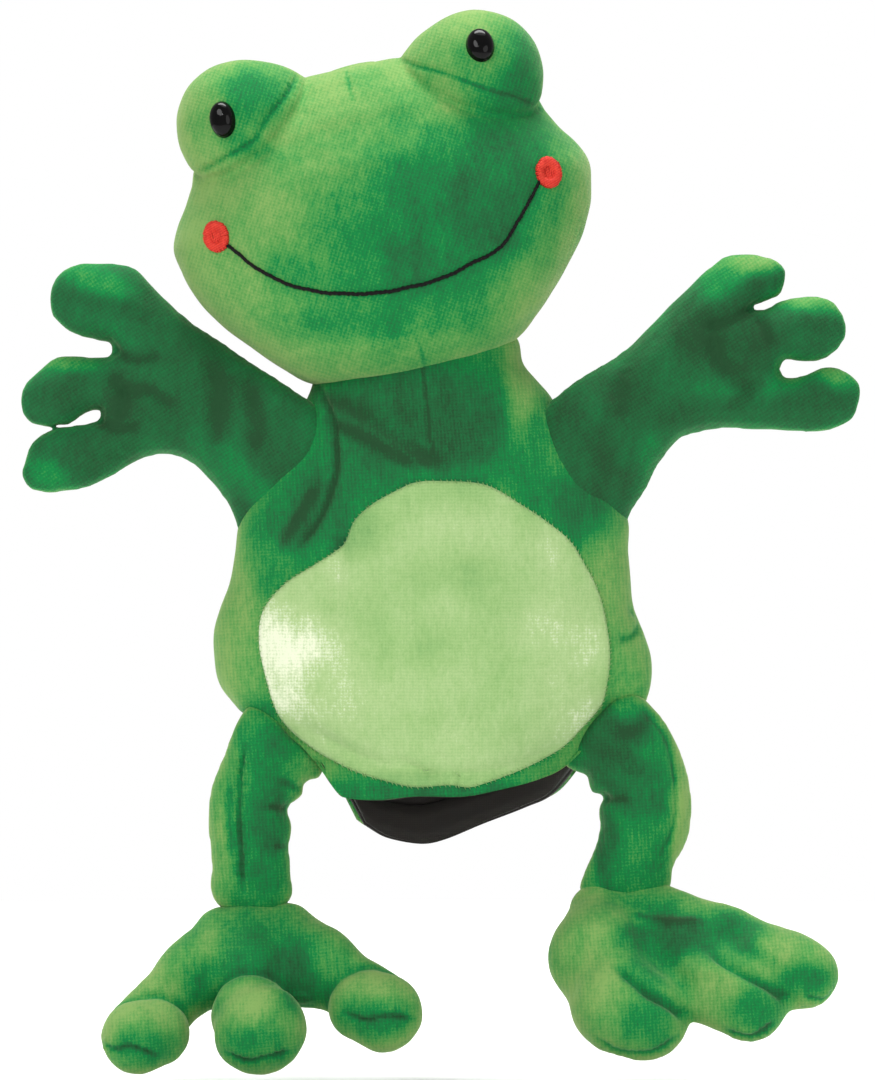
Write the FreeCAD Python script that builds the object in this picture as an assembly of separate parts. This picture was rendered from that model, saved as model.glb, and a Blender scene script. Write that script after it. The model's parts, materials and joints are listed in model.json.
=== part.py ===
import FreeCAD, Part
import math
import os

# A frog hand puppet, in millimetres. +X is to the viewer's right when the puppet faces the
# viewer, -Y is the way it faces and +Z is up. The origin is the middle of the glove opening,
# at the height of the front hem.

V = FreeCAD.Vector

# ---- driving dimensions -------------------------------------------------------------------
FABRIC = 2.0            # velour with its backing
LINING = 1.2            # thin black lining cloth
HUGE = 400.0            # size of the boxes that cut a form in half
RING_POINTS = 16        # points round one oval section

HEM_DROP = 17.0         # how far the back hem hangs below the front hem
HEM_HALF_DEPTH = 30.0
TORSO_SEAM_Y = 2.0      # side seams, just behind the middle
CHEST_SEAM_X = -3.0     # centre front seam
CORNER_GAP = 0.6        # between a leg's top and the body corner it sits in
CORNER_SIDE_GAP = 1.5   # beside a leg's top, towards the middle of the body
TAPE_HEIGHT = 8.0       # tape round the inside of the glove opening

NECK = V(-7, 0, 140)    # centre of every movement of the head
NECK_R = 24.0           # outside of the neck sleeve
NECK_LOW, NECK_HIGH = -10.0, 12.7
JOINT_GAP = 0.6         # clear space round each ball-shaped joint

HEAD = V(-18, 0, 190)   # centre of the head
HEAD_TILT = 12.0        # the head leans this far, its right-hand side up
HEAD_HALF_HEIGHT = 55.0
HEAD_SEAM_Y = 8.0       # seam between face and back of the head
BUMP_R = 22.5           # eye bumps
BUMP_X, BUMP_Y, BUMP_Z = 39.0, -13.0, 37.0
FINGER_R = 9.5          # the puppeteer's finger in its pocket
POCKET_WALL = 35.0      # straight length of the pocket, below its round end
POCKET_ABOVE_NECK = 3.0

SHOULDER_R = 22.0       # ball in which an arm's root turns
ARM_ROOT = 10.0         # how far the arm's root reaches inside its shoulder centre
WRIST = 36.0            # from the shoulder centre to the hand's wadding
ARMHOLE_RING = (12.5, 18.0)     # the armhole's lining, inwards from the shoulder centre

LEG_BARREL_R = 13.0     # rounded top of a leg, along X
ANKLE_R = 11.5
ANKLE_SEAM = 8.0        # the leg's cover ends this far above the ankle's centre

# (height, left edge, right edge, half depth) of the glove body
TORSO = [
    (-30, -36, 45, 24), (-8, -42, 49, 27), (8, -51, 57, 30), (26, -66, 67, 33),
    (45, -74, 69.5, 34), (65, -69, 64, 33), (85, -61.5, 60, 31.5), (105, -56, 53, 30.5),
    (118, -51, 46, 29), (130, -43, 36.5, 23),
]
# (height, half width, front, back) of the head, in its own upright frame
HEAD_RINGS = [
    (-55, 14, -22, 14), (-50, 33, -33, 26), (-40, 46, -41, 33), (-25, 59, -47, 38),
    (-8, 68, -49, 41), (6, 69, -46, 42), (20, 61, -41, 41), (34, 50, -34, 37),
    (44, 35, -25, 29), (50, 15, -12, 15),
]
# the mouth's lowest point and how far its corners rise from it, in the head's own frame
MOUTH_HALF_WIDTH = 55.0
MOUTH_LOW, MOUTH_RISE = -24.5, 27.0
MOUTH_POWER = 2.4       # a parabola is 2; more is flatter in the middle
CHIN_SEAM_ABOVE_MOUTH = 6.0
THREAD_R = 0.75
CHEEK_DOT_R, DOT_THICK = 4.6, 1.2
CHEEK_DOT_ABOVE_CORNER = 2.0

# (distance from the shoulder centre, half width, half depth) along an arm, before the palm
ARM_STATIONS = [(0, 17.5, 12), (18, 19, 12), (34, 22, 11.5)]
ARM_ROOT_OVAL = (17.0, 11.5)
PALM_OVAL = (22.5, 10.5)
PALM_END_OVAL = (15.0, 8.5)     # PALM_END past the palm's centre
PALM_END = 10.0

SIDES = {
    "left": {
        "shoulder": V(-56, 0, 108), "palm": V(-97, 0, 137), "inward": 1,
        "fingers": [((-92, 147), (-117, 162), 11.5), ((-98, 134), (-127, 132), 11.0),
                    ((-94, 126), (-126.5, 109), 11.3)],
        "leg": [(-57, 0, 11, 13.5, 11), (-60.5, 0, 0, 14.5, 12), (-62.5, 0, -12, 13, 12.5),
                (-63, 0, -24, 12.3, 12.3), (-62.5, 0, -36, 12.5, 12.3)],
        "barrel": (-70.0, -43.0, 11.0), "ankle": V(-62.5, 0, -36), "across": V(1, 0, 0),
        "web": [(-62.5, 0, -36, 11.3, 11.3), (-62, -6, -47, 20, 11), (-61, -14, -58, 32, 10.5),
                (-60, -22, -70, 36, 9)],
        "toes": [((-66, -14, -56), (-97, -27, -79), 12.8), ((-60, -14, -58), (-59, -34, -78), 15),
                 ((-56, -14, -54), (-20.5, -27, -72), 12.8)],
        "eye": (-7.4, 4.5),
    },
    "right": {
        "shoulder": V(51, 0, 108), "palm": V(93, 0, 137), "inward": -1,
        "fingers": [((85, 150), (103.5, 167), 10.2), ((93, 144), (123, 151.5), 10.8),
                    ((90, 131), (126.5, 128.5), 10.6)],
        "leg": [(60, 0, 13, 14, 11), (64.5, 0, 3, 15.5, 12), (67.5, 0, -8, 14.5, 12.5),
                (65, 0, -20, 13.5, 12.5), (61, 0, -32, 13, 12.3)],
        "barrel": (46.0, 73.0, 13.0), "ankle": V(61, 0, -32), "across": V(0.94, 0, 0.34),
        "web": [(61, 0, -32, 11.3, 11.3), (64, -6, -43, 20, 11), (74, -14, -53, 30, 10.5),
                (84, -22, -63, 33, 9)],
        "toes": [((58, -14, -54), (64, -31, -75), 14.3), ((68, -14, -50), (98, -30, -68), 12.8),
                 ((72, -12, -46), (118.5, -25, -58.5), 12.0)],
        "eye": (2.5, 10.0),
    },
}

# belly patch: an oval, (half width, half height) about its centre, cut off at both sides
BELLY_CENTRE = (-1.5, 51.0)
BELLY_HALF = (57.0, 50.0)
BELLY_SIDES = (-56.0, 54.0)
BELLY_THICK = 1.2

EYE_HALF_WIDTH, EYE_HALF_HEIGHT, EYE_DEPTH = 4.3, 5.9, 3.6
SHANK_R, SHANK_LENGTH = 1.6, 9.0
WASHER_R, WASHER_THICK, WASHER_DEPTH = 6.5, 1.4, 4.0


# ---- shared forms ---------------------------------------------------------------------------
def smooth_ring(points):
    curve = Part.BSplineCurve()
    curve.interpolate(points, PeriodicFlag=True)
    return Part.Wire(curve.toShape())


def oval(centre, across, deep, half_width, half_depth):
    points = []
    for i in range(RING_POINTS):
        turn = 2 * math.pi * i / RING_POINTS
        offset = across * (half_width * math.cos(turn)) + deep * (half_depth * math.sin(turn))
        points.append(centre + offset)
    return smooth_ring(points)


def oval_loft(stations, across):
    """A tube through (x, y, z, half width, half depth) stations, wide along across."""
    centres = [V(*s[:3]) for s in stations]
    rings = []
    for i, station in enumerate(stations):
        before = centres[max(i - 1, 0)]
        after = centres[min(i + 1, len(centres) - 1)]
        along = (after - before).normalize()
        wide = (across - along * across.dot(along)).normalize()
        rings.append(oval(centres[i], wide, along.cross(wide), station[3], station[4]))
    return Part.makeLoft(rings, True, False)


def drawn_in(stations, inset):
    """The same stations with both half sizes smaller by inset."""
    return [(x, y, z, wide - inset, deep - inset) for x, y, z, wide, deep in stations]


def capsule(start, end, radius):
    """A rounded finger: a turned profile of two quarter circles and a line."""
    length = (end - start).Length
    bow = radius * math.sqrt(0.5)
    profile = Part.Wire([
        Part.Arc(V(0, 0, -radius), V(bow, 0, -bow), V(radius, 0, 0)).toShape(),
        Part.makeLine(V(radius, 0, 0), V(radius, 0, length)),
        Part.Arc(V(radius, 0, length), V(bow, 0, length + bow), V(0, 0, length + radius)).toShape(),
        Part.makeLine(V(0, 0, length + radius), V(0, 0, -radius)),
    ])
    solid = Part.Face(profile).revolve(V(0, 0, 0), V(0, 0, 1), 360)
    solid = Part.Solid(solid) if solid.ShapeType == "Shell" else solid
    solid.Placement = FreeCAD.Placement(start, FreeCAD.Rotation(V(0, 0, 1), end - start))
    return solid


def block(x=(-HUGE, HUGE), y=(-HUGE, HUGE), z=(-HUGE, HUGE)):
    return Part.makeBox(x[1] - x[0], y[1] - y[0], z[1] - z[0], V(x[0], y[0], z[0]))


def ball(centre, radius):
    return Part.makeSphere(radius, centre)


def write(name, shape):
    solids = [s for s in shape.Solids if s.Volume > 1.0]
    if not solids:
        raise ValueError(name + " has no solid")
    out = solids[0] if len(solids) == 1 else Part.makeCompound(solids)
    out.exportStep("parts/" + name + ".step")
    print("%-22s solids %2d  volume %9.1f  valid %s" % (name, len(solids), out.Volume, out.isValid()))


# ---- glove body -------------------------------------------------------------------------------
def leg_corner(side, inset):
    """The space at one lower corner of the body that is kept for a leg's top."""
    low, high, level = side["barrel"]
    top = level + LEG_BARREL_R + CORNER_GAP + inset
    if side["inward"] > 0:
        return block(x=(-HUGE, high + CORNER_SIDE_GAP + inset), z=(-HUGE, top))
    return block(x=(low - CORNER_SIDE_GAP - inset, HUGE), z=(-HUGE, top))


def torso_form(inset):
    """The body's outer form, drawn in by inset, with a step cut from each lower corner for a leg."""
    rings = []
    for height, left, right, depth in TORSO:
        level = height - inset if height == TORSO[-1][0] else height
        centre = V((left + right) / 2, 0, level)
        half = (right - left) / 2 - inset
        rings.append(oval(centre, V(1, 0, 0), V(0, 1, 0), half, depth - inset))
    form = Part.makeLoft(rings, True, False)
    for side in SIDES.values():
        form = form.cut(leg_corner(side, inset))
    return form


def above_hem():
    """Everything above the slanting plane of the glove opening."""
    space = block(z=(0, HUGE))
    angle = math.degrees(math.atan2(HEM_DROP, 2 * HEM_HALF_DEPTH))
    space.Placement = FreeCAD.Placement(V(0, -HEM_HALF_DEPTH, -1), FreeCAD.Rotation(V(1, 0, 0), -angle))
    return space


def torso_holes():
    """The neck hole and the two armholes."""
    holes = [ball(NECK, NECK_R + JOINT_GAP)]
    for side in SIDES.values():
        holes.append(ball(side["shoulder"], SHOULDER_R + JOINT_GAP))
    return holes


def make_torso():
    outer = torso_form(0)
    middle = torso_form(FABRIC)
    inner = torso_form(FABRIC + LINING)
    opening = above_hem()
    holes = torso_holes()
    cover = outer.cut(middle).common(opening).cut(holes)
    front = cover.common(block(y=(-HUGE, TORSO_SEAM_Y)))
    write("body_front_left", front.common(block(x=(-HUGE, CHEST_SEAM_X))))
    write("body_front_right", front.common(block(x=(CHEST_SEAM_X, HUGE))))
    write("body_back", cover.common(block(y=(TORSO_SEAM_Y, HUGE))))
    write("body_lining", middle.cut(inner).common(opening).cut(holes))
    tape_form = torso_form(FABRIC + 2 * LINING)
    tape_zone = opening.copy()
    tape_zone.translate(V(0, 0, TAPE_HEIGHT))
    write("opening_tape", inner.cut(tape_form).common(opening).cut(tape_zone))
    make_belly(outer)


def make_belly(outer):
    raised = torso_form(-BELLY_THICK).cut(outer)
    middle = V(BELLY_CENTRE[0], 0, BELLY_CENTRE[1])
    outline = oval(middle, V(1, 0, 0), V(0, 0, 1), BELLY_HALF[0], BELLY_HALF[1])
    prism = Part.Face(outline).extrude(V(0, -HUGE, 0))
    patch = raised.common(prism).common(block(x=BELLY_SIDES)).common(above_hem())
    write("belly_patch", patch.cut([leg_corner(side, 0) for side in SIDES.values()]))


# ---- neck ---------------------------------------------------------------------------------------
def neck_ring(outer_r, inner_r):
    zone = block(z=(NECK.z + NECK_LOW, NECK.z + NECK_HIGH))
    return ball(NECK, outer_r).cut(ball(NECK, inner_r)).common(zone)


def make_neck():
    write("neck_sleeve", neck_ring(NECK_R, NECK_R - FABRIC))
    lining_r = NECK_R - FABRIC - JOINT_GAP
    write("neck_lining", neck_ring(lining_r, lining_r - LINING))


# ---- head ---------------------------------------------------------------------------------------
def head_place(shape):
    """Moves a shape from the head's own upright frame to its leaning place."""
    place = FreeCAD.Placement(HEAD, FreeCAD.Rotation(V(0, 1, 0), -HEAD_TILT))
    return shape.transformed(place.toMatrix())


def head_form(inset):
    rings = []
    shrink = (HEAD_HALF_HEIGHT - inset) / HEAD_HALF_HEIGHT
    for height, half_width, front, back in HEAD_RINGS:
        centre = V(0, (front + back) / 2, height * shrink)
        half_depth = (back - front) / 2 - inset
        rings.append(oval(centre, V(1, 0, 0), V(0, 1, 0), half_width - inset, half_depth))
    return Part.makeLoft(rings, True, False)


def bump(side, inset):
    return ball(V(-side["inward"] * BUMP_X, BUMP_Y, BUMP_Z), BUMP_R - inset)


def eye_place(side, shape):
    """Moves a shape drawn facing -Y at the origin to its place on an eye bump."""
    along_x, along_z = side["eye"]
    out = V(along_x, -math.sqrt(BUMP_R ** 2 - along_x ** 2 - along_z ** 2), along_z)
    centre = V(-side["inward"] * BUMP_X, BUMP_Y, BUMP_Z) + out
    place = FreeCAD.Placement(centre, FreeCAD.Rotation(V(0, -1, 0), out))
    return shape.transformed(place.toMatrix())


def eye_solid():
    """An oval domed safety eye with the shank on its flat back."""
    dome = ball(V(0, 0, 0), 1.0).common(block(y=(-HUGE, 0)))
    stretch = FreeCAD.Matrix()
    stretch.scale(V(EYE_HALF_WIDTH, EYE_DEPTH, EYE_HALF_HEIGHT))
    dome = dome.transformGeometry(stretch)
    shank = Part.makeCylinder(SHANK_R, SHANK_LENGTH, V(0, -0.5, 0), V(0, 1, 0))
    return dome.fuse(shank)


def washer_solid():
    disc = Part.makeCylinder(WASHER_R, WASHER_THICK, V(0, WASHER_DEPTH, 0), V(0, 1, 0))
    return disc.cut(Part.makeCylinder(SHANK_R, HUGE, V(0, -HUGE / 2, 0), V(0, 1, 0)))


def mouth_strip():
    """A ribbon as wide as the mouth's thread, a bow that runs up to both cheeks."""
    upper = []
    lower = []
    steps = 8
    for i in range(steps + 1):
        t = 2 * i / steps - 1
        x = t * MOUTH_HALF_WIDTH
        z = MOUTH_LOW + MOUTH_RISE * abs(t) ** MOUTH_POWER
        steepness = MOUTH_POWER * MOUTH_RISE * abs(t) ** (MOUTH_POWER - 1) / MOUTH_HALF_WIDTH
        slope = math.copysign(steepness, t)
        square = V(-slope, 0, 1).normalize() * THREAD_R
        upper.append(V(x, 0, z) + square)
        lower.append(V(x, 0, z) - square)
    top = Part.BSplineCurve()
    top.interpolate(upper)
    bottom = Part.BSplineCurve()
    bottom.interpolate(lower)
    ends = [Part.makeLine(upper[0], lower[0]), Part.makeLine(upper[-1], lower[-1])]
    outline = Part.Wire(Part.__sortEdges__([top.toShape(), bottom.toShape()] + ends))
    return Part.Face(outline).extrude(V(0, -HUGE, 0))


def pocket_axis():
    """Where the finger pocket's mouth is, and the way the pocket runs up into the head."""
    lean = math.radians(HEAD_TILT)
    up = V(-math.sin(lean), 0, math.cos(lean))
    return NECK + up * (NECK_R + POCKET_ABOVE_NECK), up


def pocket_space(radius):
    """A round-ended finger space of that radius; both walls share the end's centre."""
    mouth, up = pocket_axis()
    space = capsule(mouth, mouth + up * POCKET_WALL, radius)
    below = Part.makeCylinder(3 * radius, 2 * radius, mouth, up * -1)
    return space.cut(below)


def make_head():
    socket = ball(NECK, NECK_R + JOINT_GAP)
    outer = head_form(0)
    inner = head_form(FABRIC)
    eyes = {name: eye_place(side, eye_solid()) for name, side in SIDES.items()}
    washers = {name: eye_place(side, washer_solid()) for name, side in SIDES.items()}
    bumps_inner = [bump(side, FABRIC) for side in SIDES.values()]
    cover = head_place(outer.cut(inner).cut(bumps_inner)).cut(socket)
    face_zone = block(y=(-HUGE, HEAD_SEAM_Y))
    below_mouth = head_place(block(z=(-HUGE, MOUTH_LOW + CHIN_SEAM_ABOVE_MOUTH)))
    write("face_panel", cover.common(face_zone).cut(below_mouth))
    write("chin_panel", cover.common(face_zone).common(below_mouth))
    write("head_back", cover.common(block(y=(HEAD_SEAM_Y, HUGE))))
    stuffing = inner.fuse(bumps_inner[0]).fuse(bumps_inner[1])
    stuffing = head_place(stuffing).cut(socket)
    for name, side in SIDES.items():
        skin = bump(side, 0).cut(bump(side, FABRIC)).cut(outer).cut(eyes[name])
        write("eye_bump_" + name, head_place(skin))
        write("eye_" + name, head_place(eyes[name]))
        write("eye_washer_" + name, head_place(washers[name]))
        stuffing = stuffing.cut(head_place(eyes[name])).cut(head_place(washers[name]))
    tube = pocket_space(FINGER_R + LINING)
    mouth, up = pocket_axis()
    way_in = Part.makeCylinder(FINGER_R + LINING, 2 * NECK_R, mouth, up * -1)
    write("finger_pocket", tube.cut(pocket_space(FINGER_R)))
    write("head_stuffing", stuffing.cut(tube).cut(way_in))
    make_face_details(outer)


def make_face_details(outer):
    thread = head_form(-THREAD_R).common(mouth_strip()).cut(outer)
    write("mouth_embroidery", head_place(thread))
    raised = head_form(-DOT_THICK)
    for name, side in SIDES.items():
        beside = -side["inward"] * (MOUTH_HALF_WIDTH + CHEEK_DOT_R)
        corner = V(beside, 0, MOUTH_LOW + MOUTH_RISE + CHEEK_DOT_ABOVE_CORNER)
        prism = Part.makeCylinder(CHEEK_DOT_R, HUGE, corner, V(0, -1, 0))
        write("cheek_dot_" + name, head_place(raised.common(prism).cut(outer)))


# ---- arms ---------------------------------------------------------------------------------------
def arm_form(side, inset, root):
    """Sleeve, palm and fingers, drawn in by inset; root is how far inside the shoulder it starts."""
    shoulder = side["shoulder"]
    palm = side["palm"]
    along = (palm - shoulder).normalize()
    reach = (palm - shoulder).Length
    across = along.cross(V(0, 1, 0))
    rows = [(-root, *ARM_ROOT_OVAL)] + ARM_STATIONS
    rows += [(reach, *PALM_OVAL), (reach + PALM_END, *PALM_END_OVAL)]
    stations = []
    for distance, half_width, half_depth in rows:
        spot = shoulder + along * distance
        stations.append((spot.x, 0, spot.z, half_width - inset, half_depth - inset))
    form = oval_loft(stations, across)
    for start, end, radius in side["fingers"]:
        form = form.fuse(capsule(V(start[0], 0, start[1]), V(end[0], 0, end[1]), radius - inset))
    return form


def make_arm(name, side):
    outer = arm_form(side, 0, ARM_ROOT)
    inner = arm_form(side, FABRIC, ARM_ROOT + 2 * FABRIC)
    cover = outer.cut(inner)
    write("arm_%s_front" % name, cover.common(block(y=(-HUGE, 0))))
    write("arm_%s_back" % name, cover.common(block(y=(0, HUGE))))
    shoulder = side["shoulder"]
    along = (side["palm"] - shoulder).normalize()
    sleeve_space = Part.makeCylinder(WRIST * 2, HUGE, shoulder + along * (WRIST - HUGE), along)
    write("hand_wadding_" + name, inner.cut(sleeve_space))
    zone = block(x=sorted(shoulder.x + side["inward"] * depth for depth in ARMHOLE_RING))
    ring = ball(shoulder, SHOULDER_R).cut(ball(shoulder, SHOULDER_R - LINING))
    write("armhole_lining_" + name, ring.common(zone))


# ---- legs and feet --------------------------------------------------------------------------------
def leg_form(side, inset):
    low, high, level = side["barrel"]
    length = high - low - 2 * inset
    barrel = Part.makeCylinder(LEG_BARREL_R - inset, length, V(low + inset, 0, level), V(1, 0, 0))
    tube = oval_loft(drawn_in(side["leg"], inset), V(1, 0, 0))
    ankle = side["ankle"]
    form = barrel.fuse(tube).cut(ball(ankle, ANKLE_R + JOINT_GAP))
    return form.cut(block(z=(-HUGE, ankle.z + ANKLE_SEAM + inset)))


def foot_form(side, inset):
    web = oval_loft(drawn_in(side["web"], inset), side["across"])
    form = ball(side["ankle"], ANKLE_R - inset).fuse(web)
    for start, end, radius in side["toes"]:
        form = form.fuse(capsule(V(*start), V(*end), radius - inset))
    return form


def make_leg(name, side):
    outer = leg_form(side, 0)
    inner = leg_form(side, FABRIC)
    write("leg_%s_cover" % name, outer.cut(inner))
    write("leg_%s_stuffing" % name, inner)
    foot = foot_form(side, 0)
    foot_inner = foot_form(side, FABRIC)
    skin = foot.cut(foot_inner)
    front = block(y=(-HUGE, 0))
    tip = side["web"][-1]
    slope = math.degrees(math.atan2(-tip[1], side["ankle"].z - tip[2]))
    front.Placement = FreeCAD.Placement(side["ankle"], FreeCAD.Rotation(V(1, 0, 0), -slope))
    write("foot_%s_top" % name, skin.common(front))
    write("foot_%s_sole" % name, skin.cut(front))
    write("foot_%s_stuffing" % name, foot_inner)


os.makedirs("parts", exist_ok=True)
make_torso()
make_neck()
make_head()
for side_name, side_data in SIDES.items():
    make_arm(side_name, side_data)
    make_leg(side_name, side_data)
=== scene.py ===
import json
import math

import bpy
import numpy as np
import openvdb
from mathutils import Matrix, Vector
from mathutils.bvhtree import BVHTree
from mathutils.kdtree import KDTree


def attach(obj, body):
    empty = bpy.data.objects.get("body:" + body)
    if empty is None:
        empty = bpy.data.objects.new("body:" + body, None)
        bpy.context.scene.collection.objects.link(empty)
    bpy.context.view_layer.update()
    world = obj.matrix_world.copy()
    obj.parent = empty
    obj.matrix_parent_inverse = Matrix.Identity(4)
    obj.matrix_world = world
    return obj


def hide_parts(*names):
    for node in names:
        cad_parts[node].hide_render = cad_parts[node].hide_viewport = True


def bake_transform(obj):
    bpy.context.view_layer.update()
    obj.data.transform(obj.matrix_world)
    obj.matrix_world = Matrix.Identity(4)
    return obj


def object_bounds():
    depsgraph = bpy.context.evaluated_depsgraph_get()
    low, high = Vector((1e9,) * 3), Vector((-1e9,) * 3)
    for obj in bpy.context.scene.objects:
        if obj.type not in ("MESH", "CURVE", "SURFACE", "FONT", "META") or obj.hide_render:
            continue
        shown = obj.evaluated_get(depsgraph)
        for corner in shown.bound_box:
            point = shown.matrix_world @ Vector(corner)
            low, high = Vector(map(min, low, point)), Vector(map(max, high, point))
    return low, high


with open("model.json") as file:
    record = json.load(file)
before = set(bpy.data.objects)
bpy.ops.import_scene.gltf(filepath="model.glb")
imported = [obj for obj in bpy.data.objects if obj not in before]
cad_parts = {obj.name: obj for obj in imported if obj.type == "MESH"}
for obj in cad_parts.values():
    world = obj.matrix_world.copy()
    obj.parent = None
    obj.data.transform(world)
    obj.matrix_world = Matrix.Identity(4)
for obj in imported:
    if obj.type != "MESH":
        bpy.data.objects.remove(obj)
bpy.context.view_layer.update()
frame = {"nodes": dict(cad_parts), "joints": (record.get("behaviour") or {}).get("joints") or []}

# Shapes are worked out in millimetres in the row frame and scaled to metres as they are added.
MM = 0.001
rng = np.random.default_rng(7)
joint_at = {j["name"]: np.array(j["pos_m"]) / MM for j in frame["joints"]}
NECK = joint_at["head_nod"]
HEAD = NECK + np.array((-11.4, 0.0, 50.0))
HEAD_TILT = math.radians(12)


# ---- curves and grids -----------------------------------------------------------------------
def spline(points, per=8, closed=False):
    """A smooth line through the points."""
    p = np.asarray(points, float)
    n = len(p)
    out = []
    t = np.linspace(0, 1, per, endpoint=False)[:, None]
    for i in range(n if closed else n - 1):
        if closed:
            a, b, c, d = (p[(i + k) % n] for k in (-1, 0, 1, 2))
        else:
            a, b, c, d = (p[min(max(i + k, 0), n - 1)] for k in (-1, 0, 1, 2))
        out.append(0.5 * (2 * b + (c - a) * t + (2 * a - 5 * b + 4 * c - d) * t ** 2
                          + (3 * b - a - 3 * c + d) * t ** 3))
    if not closed:
        out.append(p[-1:])
    return np.vstack(out)


def profile(table, at, column=1):
    """The table's value at each height, smooth between its rows."""
    dense = spline([(row[0], row[column]) for row in table], 10)
    return np.interp(at, dense[:, 0], dense[:, 1])


def path_distance(x, z, path):
    """Distance from each (x, z) to a line, and how far along the line the nearest point is, in mm."""
    best = np.full(np.shape(x), 1e9)
    along = np.zeros(np.shape(x))
    travelled = 0.0
    for a, b in zip(path[:-1], path[1:]):
        dx, dz = b[0] - a[0], b[1] - a[1]
        length = math.hypot(dx, dz)
        if length < 1e-9:
            continue
        t = np.clip(((x - a[0]) * dx + (z - a[1]) * dz) / length ** 2, 0, 1)
        r = np.hypot(x - a[0] - t * dx, z - a[1] - t * dz)
        nearer = r < best
        best = np.where(nearer, r, best)
        along = np.where(nearer, travelled + t * length, along)
        travelled += length
    return best, along


def inside(x, z, outline):
    odd = np.zeros(np.shape(x), bool)
    for a, b in zip(outline, np.roll(outline, -1, 0)):
        if a[1] == b[1]:
            continue
        crosses = ((a[1] > z) != (b[1] > z)) & (x < (b[0] - a[0]) * (z - a[1]) / (b[1] - a[1]) + a[0])
        odd ^= crosses
    return odd


def smooth_step(value, low, high):
    t = np.clip((value - low) / (high - low), 0, 1)
    return t * t * (3 - 2 * t)


def smooth_join(a, b, radius):
    """Union of two distance fields with a soft valley between them."""
    h = np.clip(0.5 + 0.5 * (b - a) / radius, 0, 1)
    return b * (1 - h) + a * h - radius * h * (1 - h)


def waves(co, pitch, seed, count=5):
    """Smooth random unevenness, about -1 to 1, whose bumps are about pitch across."""
    draw = np.random.default_rng(seed)
    total = np.zeros(len(co))
    for _ in range(count):
        way = draw.normal(size=3)
        way *= 2 * math.pi / (pitch * draw.uniform(0.8, 1.6) * np.linalg.norm(way))
        total += np.sin(co @ way + draw.uniform(0, 6.28))
    return total / count ** 0.5 / 1.4


# ---- meshes ---------------------------------------------------------------------------------
def skin_field(field, low, step):
    """The zero level of a field that is negative inside, as points and quads."""
    grid = openvdb.FloatGrid(4.0)
    grid.copyFromArray(np.ascontiguousarray(field, np.float32))
    points, quads = grid.convertToQuads()
    return np.asarray(points, float) * step + np.asarray(low, float), np.asarray(quads, int)[:, ::-1]


def relax(co, faces, rounds=3, amount=0.5):
    """Evens out the mesh without shrinking it much."""
    corners = faces.shape[1]
    edges = np.vstack([faces[:, (i, (i + 1) % corners)] for i in range(corners)])
    edges = np.vstack([edges, edges[:, ::-1]])
    count = np.maximum(np.bincount(edges[:, 0], minlength=len(co)), 1)[:, None]
    for turn in range(2 * rounds):
        mean = np.stack([np.bincount(edges[:, 0], co[edges[:, 1], k], len(co)) for k in range(3)], 1) / count
        co = co + (amount if turn % 2 == 0 else -amount * 1.03) * (mean - co)
    return co


def normals_of(co, faces):
    a, b, c, d = (co[faces[:, i]] for i in (0, 1, 2, 3))
    n = np.cross(c - a, d - b)
    total = np.stack([sum(np.bincount(faces[:, i], n[:, k], len(co)) for i in range(4)) for k in range(3)], 1)
    return total / np.maximum(np.linalg.norm(total, axis=1, keepdims=True), 1e-12)


SETTLE_FRAMES = 20
SETTLE_PRESSURE = 40.0
SETTLE_REACH = 1.2                  # the furthest that a settling point moves
OUTLINE_HOLDS = (0.15, 1.0, 0.15)   # a settling cover's front and back move; its sewn outline hardly does


def vertex_values(mesh, what):
    """A mesh's co or normal at each of its points."""
    values = np.empty(len(mesh.vertices) * 3, np.float32)
    mesh.vertices.foreach_get(what, values)
    return values.reshape(-1, 3)


def evaluated(piece):
    return piece.evaluated_get(bpy.context.evaluated_depsgraph_get())


def settled(co, faces, voxel, drawn_in):
    """Lets the cover swell over its filling: a coarse copy, drawn in a little, is blown up as cloth and
    each point follows the copy's nearest points."""
    scene = bpy.context.scene
    mesh = bpy.data.meshes.new("settling")
    mesh.from_pydata((co * MM).tolist(), [], faces.tolist())
    copy = bpy.data.objects.new("settling", mesh)
    scene.collection.objects.link(copy)
    coarse = copy.modifiers.new("coarse", "REMESH")
    coarse.mode = "VOXEL"
    coarse.voxel_size = voxel * MM
    ready = bpy.data.meshes.new_from_object(evaluated(copy))
    copy.modifiers.clear()
    copy.data = ready
    first, normals = vertex_values(ready, "co"), vertex_values(ready, "normal")
    ready.vertices.foreach_set("co", (first - normals * drawn_in * MM).ravel())
    cover = copy.modifiers.new("cloth", "CLOTH")
    cover.settings.quality = 4
    cover.settings.mass = 0.15
    cover.settings.use_pressure = True
    cover.settings.uniform_pressure_force = SETTLE_PRESSURE
    cover.settings.effector_weights.gravity = 0
    cover.collision_settings.use_collision = False
    cover.point_cache.frame_start = 1
    cover.point_cache.frame_end = SETTLE_FRAMES
    for step in range(1, SETTLE_FRAMES + 1):
        scene.frame_set(step)
    shift = (vertex_values(evaluated(copy).data, "co") - first) / MM
    shift -= normals * (shift * normals).sum(1).mean()
    shift *= OUTLINE_HOLDS
    length = np.linalg.norm(shift, axis=1, keepdims=True)
    shift *= np.minimum(1, SETTLE_REACH / np.maximum(length, 1e-9))
    near = KDTree(len(first))
    for i, point in enumerate(first / MM):
        near.insert(point, i)
    near.balance()
    out = co.copy()
    for i, point in enumerate(co):
        found = near.find_n(point, 4)
        weight = np.array([1 / (0.5 + d) ** 2 for _, _, d in found])
        out[i] += (shift[[k for _, k, _ in found]] * weight[:, None]).sum(0) / weight.sum()
    bpy.data.objects.remove(copy)
    scene.frame_set(1)
    return out


def facing_out(co, faces, middle):
    """The faces, turned so that their normals point away from the middle."""
    inward = (normals_of(co, faces) * (co - middle)).sum(1).mean() < 0
    return faces[:, ::-1] if inward else faces


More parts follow.
